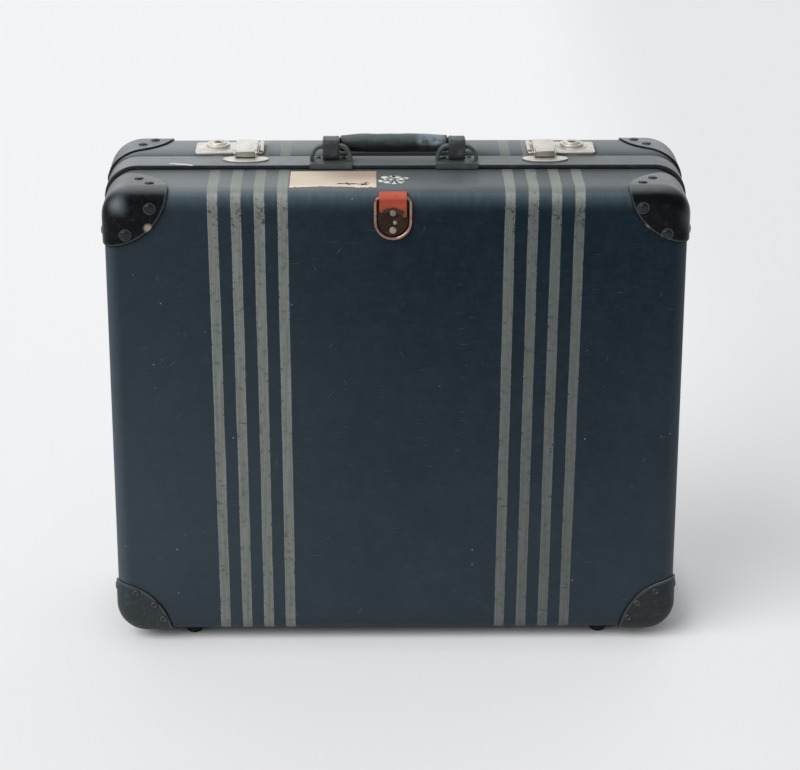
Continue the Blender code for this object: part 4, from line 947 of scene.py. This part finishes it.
def dome(radius, height):
    """A rivet head's profile: a short side, then a flattened dome."""
    points = [(0, 0), (radius, 0), (radius, height * 0.22)]
    for share in (0.96, 0.86, 0.72, 0.54, 0.34, 0.16):
        points.append((radius * share, height * (0.22 + 0.78 * math.sqrt(1 - share**2))))
    points.append((0, height))
    return points


def dimpled(radius, height):
    """A tubular rivet head's profile, with a hollow in its middle."""
    points = [(0, 0), (radius, 0), (radius, height * 0.25)]
    for share, rise in (
        (0.93, 0.62), (0.80, 0.88), (0.66, 1.0), (0.54, 0.96), (0.42, 0.70), (0.30, 0.35), (0.14, 0.25)
    ):
        points.append((radius * share, height * rise))
    points.append((0, height * 0.22))
    return points


def sweep(path, section, closed):
    """A tube along a path of (point, outward) in the YZ plane, its section as (across, out) pairs."""
    mesh = bmesh.new()
    rows = []
    for point, outward in path:
        row = []
        for across, out in section:
            row.append(mesh.verts.new((across, point[0] + outward[0] * out, point[1] + outward[1] * out)))
        rows.append(row)
    join_rows(mesh, rows + rows[:1] if closed else rows, True)
    if not closed:
        mesh.faces.new(rows[0])
        mesh.faces.new(rows[-1][::-1])
    return mesh


def stand_across(mesh, place):
    """Turns a sweep from the YZ plane to the XZ plane and moves it to a place."""
    turn = Matrix(((0, 1, 0), (-1, 0, 0), (0, 0, 1)))
    bmesh.ops.transform(mesh, matrix=Matrix.Translation(place) @ turn.to_4x4(), verts=mesh.verts)


def rounded_strip(width, thickness, edge_share=0.5):
    """A strip's cross-section with round edges, as (across, out) pairs."""
    radius = thickness * edge_share
    flat_half = thickness / 2 - radius
    points = []
    for side in (1, -1):
        for step in range(2 * STRIP_STEPS + 1):
            angle = math.pi / 2 - math.pi * step / (2 * STRIP_STEPS)
            across = side * (width / 2 - radius + radius * math.cos(angle))
            upright = math.sin(angle) if step != STRIP_STEPS else 0
            out = radius * math.sin(angle) + math.copysign(flat_half, upright)
            points.append((across, side * out))
    inner = width / 2 - radius
    flat = [inner * share for share in (0.66, 0.33, 0, -0.33, -0.66)]
    first = [(-value, thickness / 2) for value in flat]
    second = [(value, -thickness / 2) for value in flat]
    half = 2 * STRIP_STEPS + 1
    return points[:half] + second + points[half:] + first


def arc(centre, radii, start, end, steps):
    """Points of an elliptic arc, from one angle to another in degrees."""
    angles = [math.radians(start + (end - start) * step / steps) for step in range(steps + 1)]
    return [(centre[0] + radii[0] * math.cos(a), centre[1] + radii[1] * math.sin(a)) for a in angles]


def smooth_path(points, closed, steps=4):
    """A finer smooth path through these points, with its outward normals."""
    count = len(points)
    fine = []
    spans = count if closed else count - 1
    for index in range(spans):
        around = []
        for shift in (-1, 0, 1, 2):
            place = index + shift
            around.append(points[place % count] if closed else points[min(max(place, 0), count - 1)])
        for step in range(steps):
            fine.append(catmull(around, step / steps))
    if not closed:
        fine.append(points[-1])
    total = len(fine)
    path = []
    for index, point in enumerate(fine):
        before = fine[(index - 1) % total] if closed else fine[max(index - 1, 0)]
        after = fine[(index + 1) % total] if closed else fine[min(index + 1, total - 1)]
        along = Vector((after[0] - before[0], after[1] - before[1])).normalized()
        path.append((point, (along.y, -along.x)))
    return path


def catmull(around, t):
    """A point of a smooth curve between the middle two of four points."""
    result = []
    for p0, p1, p2, p3 in zip(*around):
        slope = (p2 - p0) * t
        bend = (2 * p0 - 5 * p1 + 4 * p2 - p3) * t * t
        twist = (3 * p1 - p0 - 3 * p2 + p3) * t**3
        result.append((2 * p1 + slope + bend + twist) / 2)
    return tuple(result)


def make_shells():
    """The pan, the band and the lid, finely rounded."""
    depth = PAN_HIGH.y - PAN_LOW.y
    pan = tray(PAN_WIDTH, PAN_HEIGHT, depth, PAN_CORNER, PAN_EDGE, FRONT_Y, 1)
    thicken(piece("pan", pan, "fibre", "base", replaces=("base_shell",)), PAN_WALL)
    band_depth = BAND_HIGH.y - BAND_LOW.y
    band = tray(BAND_WIDTH, BAND_HEIGHT, band_depth, BAND_CORNER, 0, BAND_LOW.y, 1, closed=False)
    band_piece = piece("band", band, "band", "base", replaces=("edge_band",))
    thicken(band_piece, (BAND_WIDTH - PAN_WIDTH) / 2 - SEAT_GAP)
    round_off(band_piece, BAND_ROUND, 50)
    lid_depth = LID_HIGH.y - LID_LOW.y
    lid = tray(BAND_WIDTH, BAND_HEIGHT, lid_depth, BAND_CORNER, PAN_EDGE, BACK_Y, -1)
    thicken(piece("lid", lid, "lid_fibre", "lid", replaces=("lid_shell",)), LID_WALL)


def make_guard(end, end_name, side, side_name, body, width, height, corner, y, facing):
    """A moulded corner guard with its domed rivets."""
    name = f"{end_name}_{side_name}"
    material = f"guard_{end_name}" if body == "base" else "guard_lid"
    shell = tray(
        width + 2 * GUARD_PROUD, height + 2 * GUARD_PROUD, GUARD_REACH + 2 * GUARD_PROUD,
        corner + GUARD_PROUD, PAN_EDGE + GUARD_PROUD, y - facing * GUARD_PROUD, facing,
    )
    guard = piece(f"{body}_corner_{name}", shell, material, None)
    thicken(guard, GUARD_THICKNESS)
    ball = bmesh.new()
    bmesh.ops.create_uvsphere(ball, u_segments=GUARD_STEPS, v_segments=GUARD_STEPS // 2, radius=GUARD_REACH)
    centre = Vector((side * width / 2, y, PAN_MIDDLE_Z + end * height / 2))
    shift = GUARD_SHIFTS[name]
    bmesh.ops.translate(ball, vec=centre + Vector((side * shift[0], 0, end * shift[1])), verts=ball.verts)
    cutter = piece("ball", ball, material, None)
    cut = guard.modifiers.new("cut", "BOOLEAN")
    cut.operation = "INTERSECT"
    cut.solver = "EXACT"
    cut.object = cutter
    settle(guard)
    bpy.data.objects.remove(cutter)
    round_off(guard, GUARD_ROUND, 40, 2)
    settle(guard)
    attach(guard, body)
    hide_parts(f"{body}_guard_{name}")
    heads = bmesh.new()
    proud = GUARD_PROUD - SEAT_GAP / 2
    face_rivet = dome(RIVET_RADIUS, RIVET_HEIGHT) if end > 0 else dimpled(WORN_RIVET_RADIUS, RIVET_HEIGHT)
    for angle in TOP_FACE_RIVET_ANGLES if end > 0 else BOTTOM_FACE_RIVET_ANGLES:
        across = RIVET_REACH * math.cos(math.radians(angle))
        down = RIVET_REACH * math.sin(math.radians(angle))
        spot = centre + Vector((-side * across, -facing * proud, -end * down))
        revolve(face_rivet, RIVET_SIDES, spot, (0, -facing, 0), heads)
    for angle in EDGE_RIVET_ANGLES:
        along = RIVET_REACH * math.cos(math.radians(angle))
        back = RIVET_REACH * math.sin(math.radians(angle))
        above = centre + Vector((-side * along, facing * back, end * proud))
        beside = centre + Vector((side * proud, facing * back, -end * along))
        revolve(dome(RIVET_RADIUS, RIVET_HEIGHT), RIVET_SIDES, above, (0, 0, end), heads)
        revolve(dome(RIVET_RADIUS, RIVET_HEIGHT), RIVET_SIDES, beside, (side, 0, 0), heads)
    rivet = f"rivet_{end_name}" if body == "base" else "rivet_lid"
    piece(f"{body}_corner_rivets_{name}", heads, rivet, body)


def make_guards():
    """All eight corner guards."""
    for end, end_name in ENDS:
        for side, side_name in SIDES:
            for shell in GUARDED_SHELLS:
                make_guard(end, end_name, side, side_name, *shell)


def grip_radius(x):
    """The grip's radius at a distance from its middle: a short neck at each strap, then a slow swell."""
    strap_inner = MOUNT_SPREAD - STRAP_WIDTH / 2 - SEAT_GAP
    inward = max(strap_inner - abs(x), 0)
    neck = min(inward / GRIP_NECK, 1)
    swell = min(inward / GRIP_TAPER, 1)
    neck_share = math.sqrt(1 - (1 - neck) ** 2)
    swell_share = swell * swell * (3 - 2 * swell)
    shoulder = GRIP_END_RADIUS + (GRIP_SHOULDER - GRIP_END_RADIUS) * neck_share
    return shoulder + (GRIP_RADIUS - GRIP_SHOULDER) * swell_share


def make_grip():
    """The padded leather grip, a little uneven, with a stitched seam underneath."""
    mesh = bmesh.new()
    half = GRIP_LENGTH / 2
    rings = []
    for station in range(GRIP_STATIONS + 1):
        x = -half + GRIP_LENGTH * station / GRIP_STATIONS
        radius = grip_radius(x)
        rise = GRIP_RISE * (radius - GRIP_END_RADIUS) / (GRIP_RADIUS - GRIP_END_RADIUS)
        outward = max(0, (abs(x) - half + GRIP_CAP) / GRIP_CAP)
        cap = min(1, math.sqrt(max(0.0, 1 - outward**2)) * 0.5 + 0.5)
        ring = []
        for index in range(GRIP_SIDES):
            angle = 2 * math.pi * index / GRIP_SIDES
            direction = Vector((0, math.cos(angle), math.sin(angle)))
            bulge = ripple(GRIP_UNEVEN, x * 60, direction.y * 1.4, direction.z * 1.4)
            soft = 1 if radius > GRIP_END_RADIUS * 1.05 else 0
            from_seam = (math.cos(angle) - 0.5) ** 2 + (math.sin(angle) + 0.87) ** 2
            seam = -GRIP_UNEVEN * soft * math.exp(-from_seam * 40)
            size = radius * cap + soft * (bulge + seam)
            ring.append(mesh.verts.new((
                HANDLE_X + x,
                HANDLE_Y + GRIP_BEHIND_AXIS + direction.y * size,
                HANDLE_Z - GRIP_BELOW_AXIS + rise + direction.z * size,
            )))
        rings.append(ring)
    join_rows(mesh, rings, True)
    mesh.faces.new(rings[0][::-1])
    mesh.faces.new(rings[-1])
    grip = piece("grip", mesh, "grip", "handle", 50, replaces=("handle_grip",))
    stitches = bmesh.new()
    for index in range(GRIP_STITCHES):
        share = (index - (GRIP_STITCHES - 1) / 2) / GRIP_STITCHES
        x = share * (2 * MOUNT_SPREAD - STRAP_WIDTH - STITCH_LENGTH)
        radius = grip_radius(x) - 0.0002
        centre = Vector((
            HANDLE_X + x,
            HANDLE_Y + GRIP_BEHIND_AXIS + radius * 0.5,
            HANDLE_Z - GRIP_BELOW_AXIS + GRIP_RISE - radius * 0.866,
        ))
        capsule = [
            (0, -STITCH_LENGTH / 2), (STITCH_RADIUS * 0.8, -STITCH_LENGTH * 0.42), (STITCH_RADIUS, 0),
            (STITCH_RADIUS * 0.8, STITCH_LENGTH * 0.42), (0, STITCH_LENGTH / 2),
        ]
        revolve(capsule, 8, centre, (1, 0, 0.12), stitches)
    piece("grip_stitches", stitches, "stitch", "handle")


def strap_path():
    """The strap's middle line about the handle's axis, in the YZ plane."""
    half = STRAP_THICKNESS / 2
    over_bar = math.hypot(ARCH_DEPTH, ARCH_STRIP) / 2 + STRAP_CLEARANCE + half
    grip = GRIP_END_RADIUS + SEAT_GAP + half
    back = arc((GRIP_BEHIND_AXIS, -GRIP_BELOW_AXIS), (grip, grip), -100, 80, 8)
    bend = arc((STRAP_BEND - STRAP_FRONT, over_bar - STRAP_BEND), (STRAP_BEND, STRAP_BEND), 90, 180, 4)
    front_centre = (-STRAP_FRONT / 4, -STRAP_HANG / 2)
    front = arc(front_centre, (STRAP_FRONT + front_centre[0], STRAP_HANG / 2), 180, 290, 7)
    return back + [(STRAP_FLAT, over_bar)] + bend + front


def make_straps():
    """The two leather loops that tie the grip to its arches, edge-stitched."""
    path = smooth_path(strap_path(), True)
    section = rounded_strip(STRAP_WIDTH, STRAP_THICKNESS)
    for side, side_name in SIDES:
        mesh = sweep(path, section, True)
        place = Vector((HANDLE_X + side * MOUNT_SPREAD, HANDLE_Y, HANDLE_Z))
        bmesh.ops.translate(mesh, vec=place, verts=mesh.verts)
        piece(f"strap_{side_name}", mesh, "strap", "handle", 50, replaces=(f"handle_strap_{side_name}",))
        stitches = bmesh.new()
        for edge in (-1, 1):
            for point, outward in path[::2]:
                x = place.x + edge * (STRAP_WIDTH / 2 - STITCH_FROM_EDGE)
                lift = STRAP_THICKNESS / 2
                centre = Vector(
                    (x, place.y + point[0] + outward[0] * lift, place.z + point[1] + outward[1] * lift)
                )
                along = (0, -outward[1], outward[0])
                capsule = [
                    (0, -STITCH_LENGTH * 0.4), (STITCH_RADIUS, -STITCH_LENGTH * 0.3),
                    (STITCH_RADIUS, STITCH_LENGTH * 0.3), (0, STITCH_LENGTH * 0.4),
                ]
                revolve(capsule, 6, centre, along, stitches)
        piece(f"strap_stitches_{side_name}", stitches, "stitch", "handle")


def make_arches():
    """The half-round strips that carry the straps, with softly rounded edges."""
    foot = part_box("handle_arch_left")[0].z
    drop = HANDLE_Z - foot
    shoulder = (ARCH_WIDTH - ARCH_BAR) / 2
    for side, side_name in SIDES:
        x = HANDLE_X + side * MOUNT_SPREAD
        middle = ARCH_LOOK / 2
        radii = (shoulder - middle, ARCH_STRIP / 2 + drop - middle)
        line = arc((ARCH_BAR / 2, -drop), radii, 0, 90, 14) + arc((-ARCH_BAR / 2, -drop), radii, 90, 180, 14)
        path = smooth_path(line, False, 1)
        section = rounded_strip(ARCH_DEPTH, ARCH_LOOK, edge_share=0.2)
        mesh = sweep(path, section, False)
        stand_across(mesh, (x, HANDLE_Y, HANDLE_Z))
        piece(f"arch_{side_name}", mesh, "arch", "base", 50, replaces=(f"handle_arch_{side_name}",))


def make_ring():
    """The carrying ring: a smooth bent wire."""
    half = (RING_WIDTH - RING_WIRE) / 2
    low = RING_HEIGHT - RING_WIRE - half
    round_x = half - RING_TOP_ROUND
    line = arc((0, -low), (half, half), 180, 360, 40)
    line += arc((round_x, -RING_TOP_ROUND), (RING_TOP_ROUND, RING_TOP_ROUND), 0, 90, 12)
    line += arc((-round_x, -RING_TOP_ROUND), (RING_TOP_ROUND, RING_TOP_ROUND), 90, 180, 12)
    path = smooth_path(line, True, 1)
    radius = RING_LOOK / 2
    turns = [2 * math.pi * index / WIRE_SIDES for index in range(WIRE_SIDES)]
    section = [(radius * math.cos(turn), radius * math.sin(turn)) for turn in turns]
    mesh = sweep(path, section, True)
    bmesh.ops.remove_doubles(mesh, verts=mesh.verts, dist=TINY)
    stand_across(mesh, RING_POS)
    piece("carry_ring", mesh, "copper", "ring", 60, replaces=("d_ring",))


def torn_fall(x):
    """How far the tab hangs below the ring's bar at a place across it."""
    share = x / (TAB_WIDTH / 2)
    middle = 0.0040 * math.exp(-(((share - 0.05) / 0.42) ** 2))
    ragged = ripple(0.0014, x * 420, 1.7, 0.3) + ripple(0.0006, x * 1500, 4.1, 0.9)
    return TAB_FALL + 0.0030 * share - 0.0010 - middle + ragged


def make_tab():
    """The red leather tab over the ring's bar, torn at its lower edge."""
    above = PAN_EDGE - TAB_TOP_DROP
    top_y = FRONT_Y + PAN_EDGE - math.sqrt(PAN_EDGE**2 - above**2) - SEAT_GAP - TAB_THICKNESS / 2
    top = (top_y - RING_POS[1], PAN_TOP - TAB_TOP_DROP - RING_POS[2])
    middle = RING_WIRE / 2 + TAB_CLEARANCE + TAB_THICKNESS / 2
    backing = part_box("ring_backing")[0].y - RING_POS[1] - SEAT_GAP - TAB_THICKNESS / 2
    bend = [top] + arc((0, 0), (middle, middle), 112, 222, 12) + [(backing, -2 * middle)]
    mesh = bmesh.new()
    grid = []
    for column in range(TAB_COLUMNS + 1):
        x = TAB_WIDTH * (column / TAB_COLUMNS - 0.5)
        fall = torn_fall(x)
        line = bend + [
            (backing, -2 * middle - (fall - 2 * middle) * k / TAB_ROWS) for k in range(1, TAB_ROWS + 1)
        ]
        wave = ripple(0.0003, x * 90, 0.2, 0.4)
        grid.append([
            mesh.verts.new((RING_POS[0] + x, RING_POS[1] + y - abs(wave), RING_POS[2] + z)) for y, z in line
        ])
    join_rows(mesh, grid, False)
    tab = piece("tab", mesh, "red", None, 60)
    thicken(tab, TAB_THICKNESS, 0)
    round_off(tab, TAB_ROUND, 60, 2)
    settle(tab)
    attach(tab, "base")
    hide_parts("ring_tab")


def make_tab_rivets():
    """The tab's three rivet heads, domed and a little uneven."""
    for number, (name, radius) in enumerate(TAB_RIVETS, 1):
        low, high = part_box(name)
        place = ((low.x + high.x) / 2, high.y, (low.z + high.z) / 2)
        head = bmesh.new()
        revolve(dome(radius, high.y - low.y), RIVET_SIDES, place, (0, -1, 0), head)
        piece(f"tab_rivet_{number}", head, "tab_rivet", "base", replaces=(name,))


def pan_surface(x, depth):
    """A point on the pan's top at a depth from its front face, following the rounded rim, and its normal."""
    if depth >= PAN_EDGE:
        return Vector((x, FRONT_Y + depth, PAN_TOP)), Vector((0, 0, 1))
    lost = PAN_EDGE - depth
    rise = math.sqrt(PAN_EDGE**2 - lost**2)
    return Vector((x, FRONT_Y + depth, PAN_TOP - PAN_EDGE + rise)), Vector((0, -lost, rise)).normalized()


def make_label():
    """The torn paper label pasted on the pan's top."""
    left, right, near, far = LABEL_SPAN
    mesh = bmesh.new()
    grid = []
    for column in range(LABEL_COLUMNS + 1):
        share = column / LABEL_COLUMNS
        x = left + (right - left) * share
        torn = ripple(0.0022, x * 230, 0.5, 0.1) + ripple(0.0010, x * 900, 2.5, 0.6)
        start = near + abs(torn) + 0.0022 * (1 - abs(2 * share - 1)) * (1 if share < 0.75 else -0.4)
        line = []
        for row in range(LABEL_ROWS + 1):
            depth = start + (far - start) * row / LABEL_ROWS
            side = ripple(0.0005, depth * 300, share * 3, 3.3) * (1 if column in (0, LABEL_COLUMNS) else 0)
            point, normal = pan_surface(x + side, depth)
            lift = 0.00012 + 0.0003 * max(0, ripple(1, x * 60, depth * 70, 2.0)) * (1 - row / LABEL_ROWS)
            line.append(mesh.verts.new(point + normal * lift))
        grid.append(line)
    join_rows(mesh, grid, False)
    thicken(piece("label", mesh, "paper", "base", 60), LABEL_THICKNESS, 1)


def make_flakes():
    """Shapeless flakes of old paper beside the label."""
    mesh = bmesh.new()
    for number, (x, depth, across, along) in enumerate(FLAKES):
        corners = []
        for step in range(FLAKE_CORNERS):
            angle = 2 * math.pi * step / FLAKE_CORNERS
            ragged = 1 + ripple(0.55, math.cos(angle) * 2.1, math.sin(angle) * 2.1, number * 3.7)
            point, normal = pan_surface(
                x + FLAKE_SWELL * across * ragged * math.cos(angle), depth + along * ragged * math.sin(angle)
            )
            corners.append(mesh.verts.new(point + normal * FLAKE_LIFT))
        mesh.faces.new(corners)
    thicken(piece("paper_flakes", mesh, "flake", "base"), FLAKE_THICKNESS, 0)


def make_linings():
    """The thin paper linings pasted inside both shells, a little wavy."""
    for node, body, y, facing, corner in (
        ("base_lining", "base", FRONT_Y + PAN_WALL + SEAT_GAP, 1, PAN_CORNER - PAN_WALL),
        ("lid_lining", "lid", BACK_Y - LID_WALL - SEAT_GAP, -1, BAND_CORNER - LID_WALL),
    ):
        low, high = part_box(node)
        trim = 2 * LINING_THICKNESS
        mesh = tray(
            high.x - low.x - LINING_TRIM, high.z - low.z - LINING_TRIM, high.y - low.y - trim,
            corner, PAN_EDGE - PAN_WALL, y + facing * LINING_TRIM / 2, facing,
        )
        bmesh.ops.subdivide_edges(
            mesh, edges=long_edges(mesh, LINING_STEP), cuts=LINING_CUTS, use_grid_fill=True
        )
        for vert in mesh.verts:
            wave = noise.noise(vert.co * 9) + 0.4 * noise.noise(vert.co * 31)
            vert.co.y += facing * LINING_WAVE * max(0, wave)
        lining = piece(f"{body}_paper", mesh, "lining", body, 50, replaces=(node,))
        thicken(lining, LINING_THICKNESS)


def long_edges(mesh, length):
    """The edges of a mesh that are longer than this."""
    return [edge for edge in mesh.edges if edge.calc_length() > length]


def make_backing():
    """The brown leather backing under the tab, softly rounded and scuffed at its edge."""
    low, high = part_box("ring_backing")
    half = (high.x - low.x) / 2
    mesh = bmesh.new()
    middle = mesh.verts.new(((low.x + high.x) / 2, low.y, low.z + half))
    outline = []
    for step in range(BACKING_STEPS + 1):
        angle = math.pi + math.pi * step / BACKING_STEPS
        uneven = ripple(BACKING_UNEVEN, math.cos(angle) * 5, math.sin(angle) * 5, 0.4)
        reach = half * (1 + uneven - BACKING_UNEVEN)
        outline.append((middle.co.x + reach * math.cos(angle), middle.co.z + reach * math.sin(angle)))
    outline += [(high.x - BACKING_TRIM, high.z), (low.x + BACKING_TRIM, high.z)]
    corners = [mesh.verts.new((x, low.y, z)) for x, z in outline]
    for first, second in zip(corners, corners[1:] + corners[:1]):
        mesh.faces.new((middle, first, second))
    backing = piece("tab_backing", mesh, "brown", None, 60)
    solid = thicken(backing, high.y - low.y, -1 if backing.data.polygons[0].normal.y < 0 else 1)
    round_off(solid, BACKING_ROUND, 50, 2)
    settle(solid)
    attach(solid, "base")
    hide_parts("ring_backing")


def dress_nodes():
    """Materials and softened edges for the frame's own pieces."""
    for finish, names in NODE_FINISHES.items():
        for name, (_, side_name) in itertools.product(names, SIDES):
            obj = frame["nodes"][f"{name}_{side_name}"]
            obj.data.materials.clear()
            obj.data.materials.append(MATERIALS[finish])
            weld = obj.modifiers.new("weld", "WELD")
            weld.merge_threshold = TINY
            round_off(obj, NODE_ROUND, SHARP_ANGLE, 2)
            smooth = obj.modifiers.new("smooth", "NODES")
            smooth.node_group = SMOOTH_GROUP


def smooth_group():
    """A node group that shades smooth, with sharp edges over an angle."""
    group = bpy.data.node_groups.new("smooth_shade", "GeometryNodeTree")
    for way in ("INPUT", "OUTPUT"):
        group.interface.new_socket("Geometry", in_out=way, socket_type="NodeSocketGeometry")
    start = add_node(group, "NodeGroupInput", {})
    faces = add_node(group, "GeometryNodeSetShadeSmooth", {"Geometry": start.outputs[0]})
    angle = add_node(group, "GeometryNodeInputMeshEdgeAngle", {})
    below = add_node(
        group, "FunctionNodeCompare", {0: angle.outputs["Unsigned Angle"], 1: math.radians(SHARP_ANGLE)},
        data_type="FLOAT", operation="LESS_THAN",
    )
    edges = add_node(
        group, "GeometryNodeSetShadeSmooth", {"Geometry": faces.outputs[0], "Shade Smooth": below.outputs[0]},
        domain="EDGE",
    )
    add_node(group, "NodeGroupOutput", {0: edges.outputs[0]})
    return group


def make_springs():
    """The lock springs, copied from the frame to ride on the lid."""
    for side, side_name in SIDES:
        node = frame["nodes"][f"lock_spring_{side_name}"]
        spring = piece(f"leaf_spring_{side_name}", node.data.copy(), "spring", "lid")
        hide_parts(node.name)
        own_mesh(spring)


def make_stage():
    """The pale floor with its painted shade, the soft lights and the camera."""
    scene = bpy.context.scene
    floor_mesh = bmesh.new()
    bmesh.ops.create_grid(floor_mesh, x_segments=1, y_segments=1, size=FLOOR_SIZE)
    shader = Shader("studio_floor")
    fine = shader.noise(2, detail=2.0)
    shader.tone = shader.mix(fine, srgb(242, 242, 243), srgb(245, 245, 246))
    # Darker to the right of the case: painted shade.
    shader.tint(shader.step(shader.x, FLOOR_PAINTED_SHADE[0], FLOOR_PAINTED_SHADE[1]), 226, 227, 229)
    # The floor beside the case is kept from the lift, so it stays darker: a painted shadow round the case's
    # foot.
    beside = shader.box_mask(((-PAN_WIDTH / 2, PAN_WIDTH / 2), (FRONT_Y, BACK_Y), (-1, 1)), CONTACT_SPREAD)
    MATERIALS["floor"] = shader.finish(0.9, specular=0.1)
    seen_pale(shader, 1.0 - beside)
    floor = piece("floor", floor_mesh, "floor", None)
    scene.world = make_world()
    key_data = bpy.data.lights.new("key", "SUN")
    key_data.energy = KEY_ENERGY
    key_data.angle = math.radians(KEY_ANGLE)
    key = bpy.data.objects.new("key", key_data)
    scene.collection.objects.link(key)
    key.rotation_euler = Vector(KEY_DIRECTION).to_track_quat("Z", "Y").to_euler()
    camera_data = bpy.data.cameras.new("camera")
    camera_data.lens = LENS
    camera_data.sensor_width = SENSOR
    camera_data.sensor_fit = "HORIZONTAL"
    camera = bpy.data.objects.new("camera", camera_data)
    scene.collection.objects.link(camera)
    camera.location = CAMERA_PLACE
    yaw = Matrix.Rotation(math.radians(CAMERA_YAW), 4, "Z")
    pitch = Matrix.Rotation(math.radians(90 - CAMERA_PITCH), 4, "X")
    roll = Matrix.Rotation(math.radians(CAMERA_ROLL), 4, "Z")
    camera.rotation_euler = (yaw @ pitch @ roll).to_euler()
    scene.camera = camera
    scene.view_settings.view_transform = "Standard"


def seen_pale(shader, away):
    """Lifts a material towards white, away from the case, where the camera or a reflection sees it."""
    ray = shader.node("ShaderNodeLightPath", {}).outputs
    seen = shader.math("MAXIMUM", ray["Is Camera Ray"], ray["Is Glossy Ray"])
    seen = shader.math("MAXIMUM", seen, ray["Is Transmission Ray"])
    glow = shader.node("ShaderNodeEmission", {"Color": srgb(240, 241, 243)}).outputs[0]
    surface = shader.tree.nodes["Material Output"].inputs["Surface"]
    bare = surface.links[0].from_socket
    blend = shader.node("ShaderNodeMixShader", {0: seen * away * PALE_SHARE, 1: bare, 2: glow})
    feed(shader.tree, surface, blend.outputs[0])


def make_world():
    """Soft light all round, brighter above and behind than from the front of the room."""
    world = bpy.data.worlds.new("studio")
    world.use_nodes = True
    tree = world.node_tree
    place = add_node(tree, "ShaderNodeTexCoord", {})
    split = add_node(tree, "ShaderNodeSeparateXYZ", {0: place.outputs["Generated"]})
    inputs = {"Value": split.outputs["Y"], **WORLD_SPAN}
    level = add_node(tree, "ShaderNodeMapRange", inputs, interpolation_type="SMOOTHSTEP")
    background = tree.nodes["Background"]
    feed(tree, background.inputs["Color"], srgb(250, 251, 253))
    feed(tree, background.inputs["Strength"], level.outputs[0])
    return world


SMOOTH_GROUP = smooth_group()
make_shells()
make_guards()
make_grip()
make_straps()
make_arches()
make_ring()
make_tab()
make_tab_rivets()
make_label()
make_flakes()
make_linings()
make_backing()
dress_nodes()
make_springs()
make_stage()
